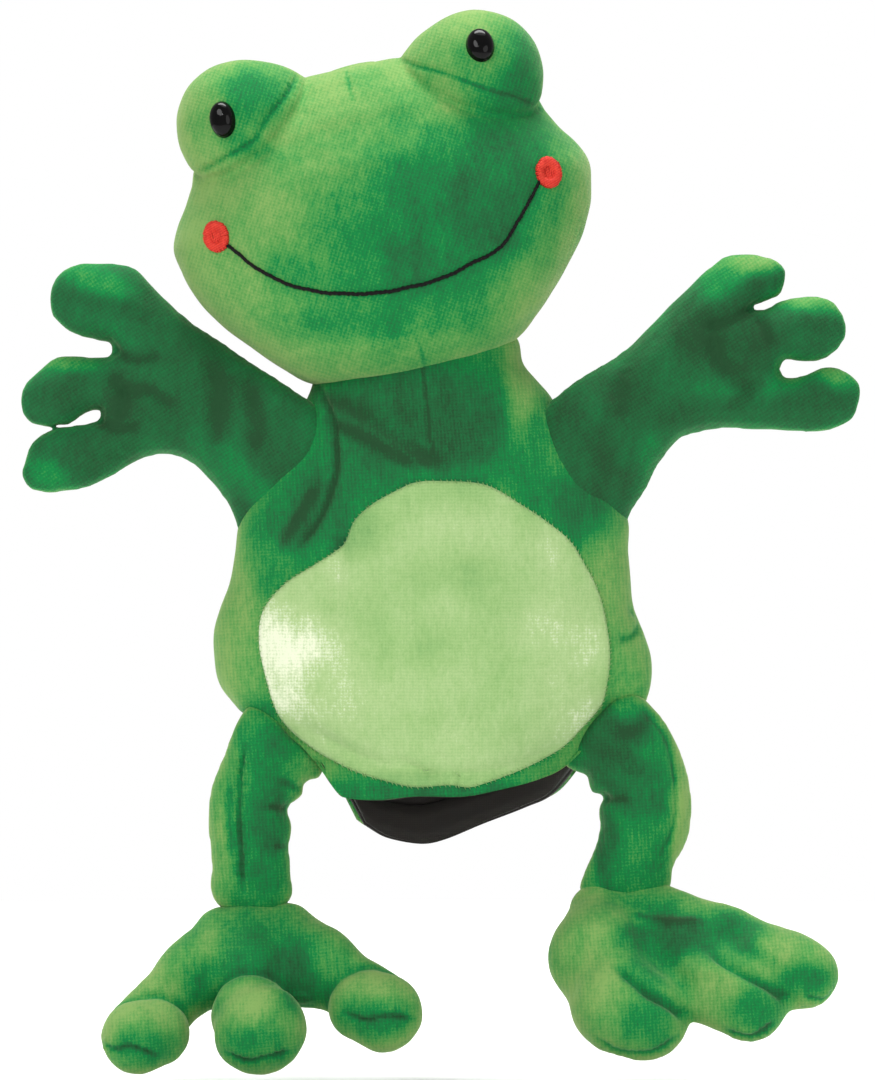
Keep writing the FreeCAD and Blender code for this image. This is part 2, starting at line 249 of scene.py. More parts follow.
def add(name, co, faces, material, nap_and_painted_light=None):
    """Makes a smooth-shaded piece, with a value at each point for how its pile lies, which also carries
    painted shade and painted sheen.
    """
    mesh = bpy.data.meshes.new(name)
    faces = faces.tolist() if hasattr(faces, "tolist") else faces
    mesh.from_pydata((np.asarray(co) * MM).tolist(), [], faces)
    mesh.validate()
    mesh.materials.append(material)
    mesh.shade_smooth()
    if nap_and_painted_light is not None:
        mesh.attributes.new("nap_and_painted_light", "FLOAT", "POINT").data.foreach_set("value", np.asarray(nap_and_painted_light, np.float32))
    piece = bpy.data.objects.new(name, mesh)
    bpy.context.scene.collection.objects.link(piece)
    return piece


def place(piece, body, slot, *nodes):
    """Says which body a piece rides on, or None if it blends, and the CAD nodes it stands for; its finish
    (slot) is not used.
    """
    if body:
        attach(piece, body)
    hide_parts(*nodes)


def moved(folds, x, z):
    """Folds given from a joint, put where the joint is."""
    return [([(px + x, pz + z) for px, pz in path], *shape) for path, *shape in folds]


def dent(co, normal, folds):
    """Presses sewn or folded lines into the surface: (path, width, depth, pucker pitch) each.
    Returns the points and how much painted shade lies along the bottom of each line, 0 to 1."""
    x, z = co[:, 0], co[:, 2]
    facing = np.clip(-normal[:, 1] * 2.5, 0, 1)
    push = np.zeros(len(co))
    dark = np.zeros(len(co))
    for path, width, depth, pucker in folds:
        line = spline(path, 8)
        d, along = path_distance(x, z, line)
        length = np.hypot(*(np.diff(line, axis=0).T)).sum()
        fade = smooth_step(along, -0.01, 0.12 * length) * smooth_step(-along, -length - 0.01, -0.88 * length)
        valley = np.exp(-(d / width) ** 2) * facing * (0.35 + 0.65 * fade)
        push -= depth * valley
        if pucker:
            side = np.exp(-((d - 1.6 * width) / (1.3 * width)) ** 2) * facing * fade
            push += 0.35 * depth * side * np.sin(2 * math.pi * along / pucker)
        # painted shade, deepest along the middle of each line
        dark = np.maximum(dark, valley)
    return co + normal * push[:, None], dark


def pile_with_painted_light(co, normal, base, patches, edge=0.5):
    """How light the pile is painted at each point, 0 its dark side to 1 its light side: the pile's lie with
    painted shade and painted sheen.
    Patches are (x, z, half width, half height, value, lean in degrees) and are on the front."""
    x, z = co[:, 0], co[:, 2]
    # painted sheen: the more a point turns away from the front, the lighter edge paints it
    turned = 1 - np.abs(normal[:, 1])
    nap_and_painted_light = base + edge * turned ** 1.5
    front = smooth_step(-normal[:, 1], -0.15, 0.35)
    for px, pz, rx, rz, value, *lean in patches:
        a = math.radians(lean[0] if lean else 0)
        along = (x - px) * math.cos(a) + (z - pz) * math.sin(a)
        across = (z - pz) * math.cos(a) - (x - px) * math.sin(a)
        r = (along / rx) ** 2 + (across / rz) ** 2
        w = np.exp(-r ** 1.6) * front
        nap_and_painted_light = nap_and_painted_light * (1 - w) + value * w
    return nap_and_painted_light


# ---- materials ------------------------------------------------------------------------------
class Surface:
    """One material's nodes, painted by the place on the object."""
    def __init__(self, name):
        self.material = bpy.data.materials.new(name)
        self.material.use_nodes = True
        self.nodes, self.links = self.material.node_tree.nodes, self.material.node_tree.links
        self.shader = self.nodes["Principled BSDF"]
        self.at = self.nodes.new("ShaderNodeTexCoord").outputs["Object"]

    def maths(self, kind, a, b):
        node = self.nodes.new("ShaderNodeMath")
        node.operation = kind
        for socket, value in zip(node.inputs, (a, b)):
            if hasattr(value, "links"):
                self.links.new(value, socket)
            else:
                socket.default_value = value
        return node.outputs[0]

    def plus(self, a, b):
        return self.maths("ADD", a, b)

    def times(self, a, b):
        return self.maths("MULTIPLY", a, b)

    def noise(self, size_mm, detail, stretch=None):
        """Soft patches about size_mm across, shorter along an axis whose stretch is above 1."""
        at = self.at
        if stretch:
            scaled = self.nodes.new("ShaderNodeVectorMath")
            scaled.operation = "MULTIPLY"
            scaled.inputs[1].default_value = stretch
            self.links.new(at, scaled.inputs[0])
            at = scaled.outputs[0]
        node = self.nodes.new("ShaderNodeTexNoise")
        node.inputs["Scale"].default_value = 1 / (size_mm * MM)
        node.inputs["Detail"].default_value = detail
        self.links.new(at, node.inputs["Vector"])
        return node.outputs["Fac"]

    def ribs(self, pitch_mm, turn_deg, wobble):
        """Fine knitted ribs; turn_deg leans them in the front plane, and 0 is upright."""
        turned = self.nodes.new("ShaderNodeVectorRotate")
        turned.rotation_type = "Y_AXIS"
        turned.inputs["Angle"].default_value = math.radians(turn_deg)
        self.links.new(self.at, turned.inputs["Vector"])
        node = self.nodes.new("ShaderNodeTexWave")
        node.bands_direction = "X"
        node.inputs["Scale"].default_value = 2 * math.pi / 20 / (pitch_mm * MM)
        node.inputs["Distortion"].default_value = wobble
        node.inputs["Detail"].default_value = 2
        node.inputs["Detail Scale"].default_value = 0.35
        self.links.new(turned.outputs[0], node.inputs["Vector"])
        return node.outputs["Fac"]

    def colour(self, source, stops):
        """The base colour, picked from (position, colour) stops by the source."""
        node = self.nodes.new("ShaderNodeValToRGB")
        while len(node.color_ramp.elements) < len(stops):
            node.color_ramp.elements.new(0.5)
        for element, (at, colour) in zip(node.color_ramp.elements, stops):
            element.position = at
            element.color = (*colour, 1)
        self.links.new(source, node.inputs[0])
        self.links.new(node.outputs[0], self.shader.inputs["Base Color"])

    def roughness(self, source, change, least):
        self.links.new(self.plus(self.times(source, change), least), self.shader.inputs["Roughness"])

    def bump(self, heights):
        """Bumps one over another: (height, strength, depth in mm) each."""
        previous = None
        for height, strength, depth in heights:
            node = self.nodes.new("ShaderNodeBump")
            node.inputs["Strength"].default_value = strength
            node.inputs["Distance"].default_value = depth * MM
            self.links.new(height, node.inputs["Height"])
            if previous:
                self.links.new(previous, node.inputs["Normal"])
            previous = node.outputs[0]
        self.links.new(previous, self.shader.inputs["Normal"])

    def fixed(self, **values):
        """Shader values that are the same all over, such as Sheen_Weight."""
        for name, value in values.items():
            self.shader.inputs[name.replace("_", " ")].default_value = value
        return self.material


def velour(name, stops, rib_turn, sheen, sheen_tint, mottle, rib_shade, pitch=1.2):
    """Short-pile knitted velour: a value painted at each point, the pile's lie with painted shade and painted
    sheen, picks the colour; ribs and tufts break it up.
    """
    pile = Surface(name)
    lie_and_light = pile.nodes.new("ShaderNodeAttribute")
    lie_and_light.attribute_name = "nap_and_painted_light"
    wide = pile.noise(13, 3, (1.3, 1, 0.6))
    tuft = pile.noise(2.4, 4, (1.6, 1, 0.7))
    fine = pile.noise(0.5, 2)
    rib = pile.plus(pile.times(pile.ribs(pitch, rib_turn, 2.5), 0.6),
                    pile.times(pile.ribs(0.9 * pitch, rib_turn + 90, 2.5), 0.4))
    shade = lie_and_light.outputs["Fac"]
    for source, amount in ((wide, mottle), (tuft, 0.9 * mottle), (fine, 0.9 * mottle), (rib, rib_shade)):
        shade = pile.plus(shade, pile.times(pile.maths("SUBTRACT", source, 0.5), amount))
    pile.colour(shade, stops)
    pile.roughness(tuft, 0.2, 0.75)
    pile.bump([(rib, 0.35, 0.16), (fine, 0.7, 0.16), (tuft, 0.35, 0.48)])
    return pile.fixed(Specular_IOR_Level=0.15, Sheen_Weight=sheen, Sheen_Roughness=0.38,
                      Sheen_Tint=(*sheen_tint, 1))


def cloth(name, dark, light):
    """Plain thin lining: crossed fine ribs with a faint colour change."""
    lining = Surface(name)
    patchy = lining.noise(6, 3)
    weave = lining.times(lining.ribs(0.6, 0, 0.5), lining.ribs(0.6, 90, 0.5))
    mixed = lining.plus(lining.times(patchy, 0.6), lining.times(weave, 0.5))
    lining.colour(mixed, [(0.2, dark), (0.9, light)])
    lining.roughness(patchy, 0.25, 0.65)
    lining.bump([(weave, 0.5, 0.12)])
    return lining.fixed(Sheen_Weight=0.1, Sheen_Roughness=0.5)


def thread(name, dark, light, pitch_mm, rough, turn=35):
    """Twisted embroidery thread."""
    yarn = Surface(name)
    strand = yarn.ribs(pitch_mm, turn, 1.5)
    patchy = yarn.noise(1.5, 2)
    mixed = yarn.plus(yarn.times(patchy, 0.6), yarn.times(strand, 0.45))
    yarn.colour(mixed, [(0.25, dark), (0.85, light)])
    yarn.roughness(patchy, 0.2, rough)
    yarn.bump([(strand, 0.6, 0.08)])
    return yarn.fixed(Specular_IOR_Level=0.2)


def plastic(name, dark, light, rough, coat, specular=0.5):
    """Moulded plastic with faint flow marks and fine scuffs."""
    moulded = Surface(name)
    flow = moulded.noise(5, 2)
    scuff = moulded.noise(0.4, 2)
    moulded.colour(flow, [(0.3, dark), (0.8, light)])
    moulded.roughness(scuff, 0.06, rough)
    moulded.bump([(flow, 0.1, 0.05)])
    return moulded.fixed(Specular_IOR_Level=specular, Coat_Weight=coat, Coat_Roughness=0.03)


def srgb(*channels):
    """A colour given in 0 to 255 steps, as the renderer's linear light."""
    shares = [c / 255 for c in channels]
    return tuple(c / 12.92 if c <= 0.04045 else ((c + 0.055) / 1.055) ** 2.4 for c in shares)


# Colour stops from the pile's dark side to its light side: the velour's own tones, with the dark end also
# used as painted shade and the light end as painted sheen.
GREEN_STOPS = [(0.0, srgb(30, 70, 40)), (0.26, srgb(26, 98, 54)), (0.48, srgb(6, 124, 60)),
               (0.70, srgb(74, 144, 70)), (1.0, srgb(124, 160, 88))]
PALE_STOPS = [(0.0, srgb(98, 148, 84)), (0.45, srgb(142, 178, 112)), (0.75, srgb(166, 192, 134)),
              (1.0, srgb(222, 228, 200))]
green = velour("green_velour", GREEN_STOPS, 4, 0.30, (0.80, 0.90, 0.55), 0.46, 0.15)
green_head = velour("green_velour_head", GREEN_STOPS, -18, 0.30, (0.80, 0.90, 0.55), 0.46, 0.16)
green_arm = velour("green_velour_leaning_ribs", GREEN_STOPS, -58, 0.25, (0.70, 0.85, 0.50), 0.36, 0.14)
pale = velour("pale_velour", PALE_STOPS, 90, 0.4, (0.95, 1.0, 0.85), 0.42, 0.12, 1.1)
black_lining = cloth("black_lining", srgb(22, 17, 15), srgb(44, 36, 32))
black_thread = thread("black_thread", srgb(4, 4, 4), srgb(20, 17, 16), 0.5, 0.6)
red_thread = thread("red_thread", srgb(182, 26, 24), srgb(232, 78, 58), 0.5, 0.5, 70)
green_thread = thread("green_thread", srgb(104, 152, 84), srgb(166, 196, 132), 0.4, 0.6)
eye_black = plastic("eye_plastic", srgb(3, 3, 4), srgb(9, 8, 8), 0.05, 0.05, 0.14)
washer_white = plastic("washer_plastic", srgb(205, 205, 200), srgb(232, 232, 228), 0.4, 0.1)


# ---- glove body -----------------------------------------------------------------------------
# (height, left edge, right edge, half depth)
BODY = [
    (-34, -33, 42, 23), (-20, -37, 47, 25), (-8, -42, 49, 27), (8, -52, 57, 29.5), (18, -60, 63, 31.5),
    (26, -66, 67, 33), (34, -72.5, 69.5, 33.5), (44, -74.5, 69.5, 34), (52, -74.5, 67, 34),
    (60, -72, 64, 33.5), (68, -69, 63, 33), (78, -67, 62, 32), (88, -66, 62, 31.5), (98, -62, 58, 31),
    (108, -57, 53, 30.5), (118, -51, 46, 30), (126, -46, 40, 28.5), (131, -43.5, 36.5, 27.5),
    (136, -42, 31.5, 26.5), (141, -41, 27.5, 26), (148, -39, 26, 25), (154, -35, 22, 22)]
FRONT_HEM = [
    (-74, 33), (-64, 25), (-52, 19), (-45, 14), (-40, 8), (-34, 0), (-30.5, -2), (-20, -2.5),
    (-8, -1.2), (8, -1.2), (20, 1), (32, 4), (41, 7.5), (50, 17), (57, 26), (68, 29.5), (74, 34)]
BACK_HEM = [
    (-74, 33), (-64, 25), (-52, 19), (-45, 13), (-38, 6), (-32, -2), (-29, -9), (-24, -13),
    (-18, -15.8), (-7, -17.6), (2, -16), (15, -11), (30, -5.4), (40, -0.4), (50, 12), (60, 24),
    (68, 29.5), (74, 34)]
CORNER_SEAMS = [[(-64, 25), (-52, 19), (-45, 13), (-40, 8)], [(41.5, 8), (50, 18), (58, 27), (68, 29.5)]]
CORNER_HALF_DEPTH = 9.5
BODY_TOP = 154.0
LINING_TOP = 140.0


def body_points(turns, levels, inset=0.0, lower=0.0, high=BODY_TOP):
    """Rings of the body's form, drawn in by inset: (levels, turns) points from the hem to the top."""
    angle = np.linspace(0, 2 * math.pi, turns, endpoint=False)
    c, s = np.cos(angle), np.sin(angle)
    hem = np.zeros(turns)
    for _ in range(30):
        left, right = profile(BODY, hem, 1), profile(BODY, hem, 2)
        x = (left + right) / 2 + (right - left) / 2 * c
        front, back = profile(FRONT_HEM, x), profile(BACK_HEM, x)
        share = smooth_step(s, -0.3, 0.3)
        hem = 0.5 * hem + 0.5 * (front * (1 - share) + back * share - lower * (0.3 + 0.7 * share))
    part = np.linspace(0, 1, levels)[:, None]
    z = hem[None, :] * (1 - part) + high * part
    left, right, depth = (profile(BODY, z, k) for k in (1, 2, 3))
    half = (right - left) / 2 - inset
    x = (left + right) / 2 + half * c[None, :]
    y = (depth - inset) * np.sign(s) * np.abs(s) ** 0.95
    near = np.minimum(*(path_distance(x, z, seam)[0] for seam in CORNER_SEAMS))
    cap = CORNER_HALF_DEPTH - 0.6 * inset + 1.15 * near
    depth_now = np.abs(y)
    y = np.sign(y) * (depth_now * cap / (depth_now ** 4 + cap ** 4) ** 0.25)
    return np.stack([x, y, z], 2)


def ring_faces(levels, turns):
    """Quads between one ring of points and the next."""
    i, j = np.meshgrid(np.arange(levels - 1), np.arange(turns), indexing="ij")
    k = (j + 1) % turns
    lower, upper = i * turns, (i + 1) * turns
    return np.stack([lower + j, lower + k, upper + k, upper + j], 2).reshape(-1, 4)


def sheet_of(outer, inner):
    """A cloth with thickness: outer and inner rings, joined with a rolled edge at both ends."""
    levels, turns = outer.shape[:2]
    rings = np.concatenate([outer, inner[::-1]], 0)
    n = len(rings)
    faces = ring_faces(n, turns)
    j = np.arange(turns)
    k = (j + 1) % turns
    closing = np.stack([(n - 1) * turns + j, (n - 1) * turns + k, k, j], 1)
    return rings.reshape(-1, 3), np.vstack([faces, closing])


BODY_FOLDS = [
    ([(-40, 133), (-36, 126), (-34, 115), (-34, 105), (-37, 95), (-41, 87), (-47, 80)], 1.1, 1.6, 0),
    ([(-6, 141), (-4, 125), (-3, 115), (1, 103)], 0.5, 0.3, 3.0),
    ([(-40, 130), (-28, 124), (-14, 115), (2, 106)], 3.0, -1.0, 0),
    ([(-36, 122), (-22, 115), (-8, 107)], 2.4, 1.0, 0),
    ([(-40, 100), (-46, 90), (-52, 80)], 2.2, -0.9, 0),
    ([(62, 60), (66, 56), (63, 51), (58, 50)], 1.3, 1.2, 0),
    ([(-31, 86), (-33, 76), (-34, 66), (-33, 56)], 3.2, 1.6, 0),
    ([(-44, 22), (-26, 12), (-6, 7), (8, 6), (26, 9), (40, 16)], 2.6, 1.5, 0),
    ([(-2, 14), (4, 8), (8, 2)], 1.6, 0.9, 0), ([(-16, 13), (-6, 8), (2, 3)], 1.8, 0.8, 0),
]
# Patches of the pile's lie with painted light: painted shade over the chest, under the arms and below the
# belly, painted sheen down the sides.
BODY_NAP_AND_PAINTED_LIGHT = [
    (-6, 120, 42, 27, 0.16), (-16, 117, 24, 3.6, 0.36, -27), (6, 104, 18, 3.5, 0.42),
    (27, 134, 5.5, 22, 0.92), (31, 112, 6, 12, 0.45), (-45, 90, 14, 20, 0.22, -40),
    (-55, 74, 10, 9, 0.52), (46, 94, 16, 12, 0.24), (60, 62, 12, 26, 0.84), (-69, 50, 9, 28, 0.92),
    (-60, 24, 7, 7, 0.4), (0, -1, 48, 6, 0.30)]


def make_body():
    """The velour cover, its black lining and the tape inside the hem. Returns the cover's mesh."""
    turns, levels = 320, 150
    outer = body_points(turns, levels)
    inner = body_points(turns, levels, 2.0)
    co, faces = sheet_of(outer, inner)
    normal = normals_of(co, faces)
    if normal[levels // 2 * turns][0] < 0:
        faces = faces[:, ::-1]
        normal = -normal
    skin, skin_normal = co[:levels * turns], normal[:levels * turns]
    folded, dark = dent(skin, skin_normal, BODY_FOLDS)
    loose = waves(folded, 45, 3) * 0.9 + waves(folded, 20, 4) * 0.35
    loose *= smooth_step(folded[:, 2], -10, 20) * smooth_step(-folded[:, 2], -150, -120)
    move = (folded + skin_normal * loose[:, None] - skin).reshape(levels, turns, 3)
    co = co + np.concatenate([move, move[::-1]]).reshape(-1, 3)
    dark = np.concatenate([dark, np.zeros(len(dark))])
    # painted sheen at the turned edges, the patches' painted shade and sheen, and painted shade along the
    # bottom of each fold
    nap_and_painted_light = pile_with_painted_light(co, normal, 0.62, BODY_NAP_AND_PAINTED_LIGHT, 0.42) - 0.35 * dark
    cover = add("body_cover", co, faces, green, nap_and_painted_light)
    place(cover, "torso", "velour_green", "body_front_left", "body_front_right", "body_back")
    lining, lining_faces = sheet_of(*(body_points(200, 90, inset, 1.0, LINING_TOP) for inset in (2.5, 3.4)))
    lining = lining + waves(lining, 18, 5)[:, None] * np.array((0.0, 0.25, 0.0))
    black = add("body_inner_lining", lining, lining_faces, black_lining)
    place(black, "torso", "lining_black", "body_lining")
    tape, tape_faces = sheet_of(*(body_points(240, 40, inset, 0.4, LINING_TOP)[:4] for inset in (3.7, 4.9)))
    band = add("opening_band", tape, tape_faces, black_lining)
    place(band, "torso", "lining_black", "opening_tape")
    return co, faces


BELLY = [
    (0, 102), (15, 100.7), (27, 94), (36, 88), (43, 82), (48, 74), (52, 66), (54.5, 57), (56, 45),
    (55, 35), (53, 28), (47, 21), (40, 14), (30, 8.5), (20, 4.5), (10, 1.5), (3, 2.2), (-8, 1.5),
    (-18, 3.5), (-28, 6.5), (-38, 11.5), (-46, 17), (-52, 23), (-55, 29), (-57.5, 38), (-59.5, 48),
    (-59, 57), (-56, 63), (-50, 69), (-42, 74), (-35, 78.5), (-31, 82), (-28, 89), (-22, 94.5),
    (-14, 99), (-8, 101.5)]
# Patches of the pile's lie with painted light: painted sheen along the left side, painted shade along the
# bottom edge and at the upper left.
BELLY_NAP_AND_PAINTED_LIGHT = [
    (44, 44, 18, 40, 0.68), (-8, 14, 44, 9, 0.62), (-28, 30, 24, 13, 0.66),
    (-46, 44, 18, 24, 0.82, 12), (-55, 44, 9, 20, 1.0, 8), (-28, 84, 9, 10, 0.26, 30),
    (-34, 68, 4, 12, 0.72), (10, 86, 18, 7, 0.60, -12), (10, 70, 14, 6, 0.42), (0, 4, 40, 3.2, 0.34)]


def front_of(surface, x, z):
    """Where a line along +Y meets the front of a surface, and the normal there, or None and None."""
    hit, normal, _, _ = surface.ray_cast(Vector((x, -120.0, z)), Vector((0, 1, 0)))
    return hit, normal


def on_surface(surface, points, lift):
    """Drops (x, z) points onto the front of a surface and lifts them off it."""
    out = []
    for (x, z), up in zip(points, lift):
        hit, normal = front_of(surface, x, z)
        if hit is None:
            hit, normal, _, _ = surface.find_nearest(Vector((x, -20, z)))
        if normal.y > 0:
            normal = -normal
        out.append(hit + normal * up)
    return np.array(out)


def tree_of(co, faces):
    return BVHTree.FromPolygons(co.tolist(), faces.tolist())


def make_belly(surface):
    """The pale patch, with a rounded edge, and the stitches over its edge."""
    edge = spline(BELLY, 10, True)
    centre = np.array((-1.0, 51.0))
    shares = np.concatenate([np.linspace(1.0, 0.93, 8), np.linspace(0.925, 0.03, 70)])
    flat = centre + (edge - centre)[None] * shares[:, None, None]
    rim = (1 - shares) * 52
    lift = -0.5 + 1.7 * np.sqrt(1 - (1 - np.clip(rim / 2.6, 0, 1)) ** 2)
    n = len(edge)
    co = on_surface(surface, flat.reshape(-1, 2), np.repeat(lift, n))
    faces = ring_faces(len(shares), n)
    co = np.vstack([co, co[-n:].mean(0)])
    last = (len(shares) - 1) * n
    j = np.arange(n)
    tip = len(co) - 1
    fan = np.stack([last + j, last + (j + 1) % n, np.full(n, tip)], 1)
    normal = normals_of(co, faces)
    if normal[n * 20][1] > 0:
        faces, fan, normal = faces[:, ::-1], fan[:, ::-1], -normal
    normal[tip] = normal[last]
    # painted sheen at the turned edges and the patches' painted shade and sheen
    nap_and_painted_light = pile_with_painted_light(co, normal, 0.50, BELLY_NAP_AND_PAINTED_LIGHT, 0.2) + 0.07 * waves(co, 16, 6)
    patch = add("belly_patch_cover", co, faces.tolist() + fan.tolist(), pale, nap_and_painted_light)
    thicken = patch.modifiers.new("backing", "SOLIDIFY")
    thicken.thickness = 1.0 * MM
    thicken.offset = -1
    place(patch, "torso", "velour_pale", "belly_patch")
    make_stitches("belly_stitches", surface, edge, 1.7, "torso")


def capped(levels, turns):
    """The faces of stacked rings, closed with a flat face at both ends."""
    last = (levels - 1) * turns
    return ring_faces(levels, turns).tolist() + [list(range(turns))[::-1], list(range(last, last + turns))]


def tube(path, radius, sides=6):
    """A closed thin tube along a path."""
    path = np.asarray(path, float)
    along = np.gradient(path, axis=0)
    along /= np.linalg.norm(along, axis=1, keepdims=True)
    side = np.cross(along, (0.13, 0.97, 0.2))
    side /= np.linalg.norm(side, axis=1, keepdims=True)
    up = np.cross(along, side)
    turn = np.linspace(0, 2 * math.pi, sides, endpoint=False)
    radii = np.broadcast_to(radius, (len(path),))
    spokes = side[:, None] * np.cos(turn)[:, None] + up[:, None] * np.sin(turn)[:, None]
    rings = path[:, None] + radii[:, None, None] * spokes
    return rings.reshape(-1, 3), capped(len(path), sides)


def add_joined(name, parts, material):
    """Joins many small meshes into one piece."""
    points, faces, count = [], [], 0
    for co, part_faces in parts:
        points.append(co)
        faces += [[i + count for i in f] for f in part_faces]
        count += len(co)
    return add(name, np.vstack(points), faces, material)


STITCH_STEPS = (0.0, 0.35, 0.8, 1.0, 0.8)
STITCH_RADII = (0.08, 0.14, 0.15, 0.14, 0.08)


def make_stitches(name, surface, edge, pitch, body):
    """Small slanting stitches over the edge of an appliqued patch."""
    steps = np.hypot(*(np.roll(edge, -1, 0) - edge).T)
    travelled = np.concatenate([[0], np.cumsum(steps)])
    closed = np.vstack([edge, edge[:1]])
    count = int(travelled[-1] / pitch)
    centre = edge.mean(0)
    parts = []
    for i in range(count):
        at = (i + 0.3 * rng.uniform(-1, 1)) * pitch
        x, z = (np.interp(at, travelled, closed[:, k]) for k in (0, 1))
        x2, z2 = (np.interp((at + 0.9) % travelled[-1], travelled, closed[:, k]) for k in (0, 1))
        inward = centre - (x, z)
        inward /= np.linalg.norm(inward)
        start = np.array((x, z)) - inward * 0.35
        end = np.array((x2, z2)) + inward * 1.3
        line = start + (end - start) * np.linspace(0, 1, 5)[:, None]
        parts.append(tube(on_surface(surface, line, STITCH_STEPS), STITCH_RADII, 5))
    stitches = add_joined(name, parts, green_thread)
    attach(stitches, body)


# ---- head -----------------------------------------------------------------------------------
# (height, half width, front, back) in the head's own upright frame
HEAD_FORM = [
    (-55.5, 5, -8, 6), (-54, 20, -22, 16), (-50, 34, -32, 25), (-43, 43, -40, 31), (-37, 49, -43, 34),
    (-30, 55.5, -46, 36), (-21.6, 62, -48, 38.5), (-13.5, 66.5, -49, 40), (-5, 69.2, -48.5, 41),
    (3, 70, -47, 41.5), (10, 67, -45, 42), (16, 63, -43, 41.5), (22, 60, -40, 40.5),
    (28, 57.5, -37, 39), (34, 51, -34, 36), (40, 42, -29, 32), (46, 30, -22, 25), (49, 18, -14, 17),
    (50.2, 5, -5, 7)]
HEAD_ROUND = 2.25                     # 2 is an oval head, and more is squarer
HEAD_OFF_CENTRE = 0.5                 # how far the head's form sits towards -X
# The eye bumps: a ball under each eye, and one beside it towards the middle.
BUMP_AT, BUMP_R = np.array((39.0, -13.0, 37.0)), 22.3
BUMP_INNER, BUMP_INNER_R = np.array((28.5, -11.0, 35.5)), 17.5
SIDE_SEAM_Y = 8.0                     # where the face panels meet the back of the head
# The finger pocket, along the head's own upright: it starts above the neck's ball-shaped seam.
POCKET_RADIUS = 11.2
POCKET_START = 27.0
POCKET_LENGTH = 35.0
# (x, z) along the embroidered mouth, in the head's own frame
MOUTH = [
    (-53, 0.2), (-52, -0.8), (-49, -4.4), (-44.9, -9.4), (-36.3, -16.8), (-25.2, -22.3), (-13, -25.5),
    (-2.6, -26.7), (12.8, -26.2), (25.8, -22.9), (34.6, -20.1), (41, -13.8), (45, -9.6), (52, -0.8),
    (53, 0.4)]
# (x, z, half width, half height, lean in degrees) of the eyes, and (x, z) of the cheek dots
EYES = {"left": (-45.2, 39.7, 4.2, 5.9, 0), "right": (42.0, 46.0, 4.5, 5.8, 7)}
DOTS = {"left": (-54.9, 2.8), "right": (55.0, 0.8)}
# (radius, height) over an eye's dome, as shares of its half widths and in mm
EYE_DOME = [
    (0.0, 4.2), (0.25, 4.15), (0.5, 3.85), (0.7, 3.3), (0.85, 2.6), (0.95, 1.75), (1.0, 0.9),
    (1.03, 0.4), (1.03, 0.0), (0.98, -0.4), (0.7, -0.8)]
HEAD_DARTS = [
    ([(-2, 50.5), (-2.5, 44), (-2, 36)], 0.5, 0.5, 2.0),
    ([(3, -56), (2.5, -48), (1.5, -42)], 0.5, 0.12, 2.5)]
BUMP_SEAMS = [
    ([(-46, 236), (-50, 228), (-56, 220), (-60, 213), (-70, 207), (-80, 202)], 0.8, 0.9, 2.2),
    ([(-14, 241), (-8, 237.5), (0, 235), (8, 232), (16, 229), (25, 227), (33, 224)], 0.7, 0.6, 2.2)]
# Patches of the pile's lie with painted light: painted shade over the middle of the face, painted sheen at
# its sides, crown and chin.
HEAD_NAP_AND_PAINTED_LIGHT = [
    (-3, 191, 56, 35, 0.50, 42), (8, 187, 36, 21, 0.24, 45), (-9, 170, 18, 7, 0.30, 25),
    (38, 190, 7, 16, 0.62), (-16, 153, 36, 8, 0.48), (-8, 143, 34, 6, 0.70),
    (-42, 166, 14, 7, 0.55, -35), (-60, 227, 13, 12, 0.40), (-63, 211, 13, 4.5, 0.56, -20),
    (-74, 218, 6, 8, 0.8), (27, 232, 12, 21, 0.34), (12, 240, 12, 6, 0.66), (-2, 226, 13, 7, 0.80),
    (46, 182, 6, 24, 0.88)]


def to_row(co):
    """From the head's own upright frame to its leaning place."""
    x, y, z = co.T
    c, s = math.cos(HEAD_TILT), math.sin(HEAD_TILT)
    return np.stack([HEAD[0] + x * c - z * s, HEAD[1] + y, HEAD[2] + x * s + z * c], 1)


def neck_in_head():
    """The neck's place in the head's own upright frame."""
    x, _, z = NECK - HEAD
    c, s = math.cos(HEAD_TILT), math.sin(HEAD_TILT)
    return np.array((x * c + z * s, 0, z * c - x * s))


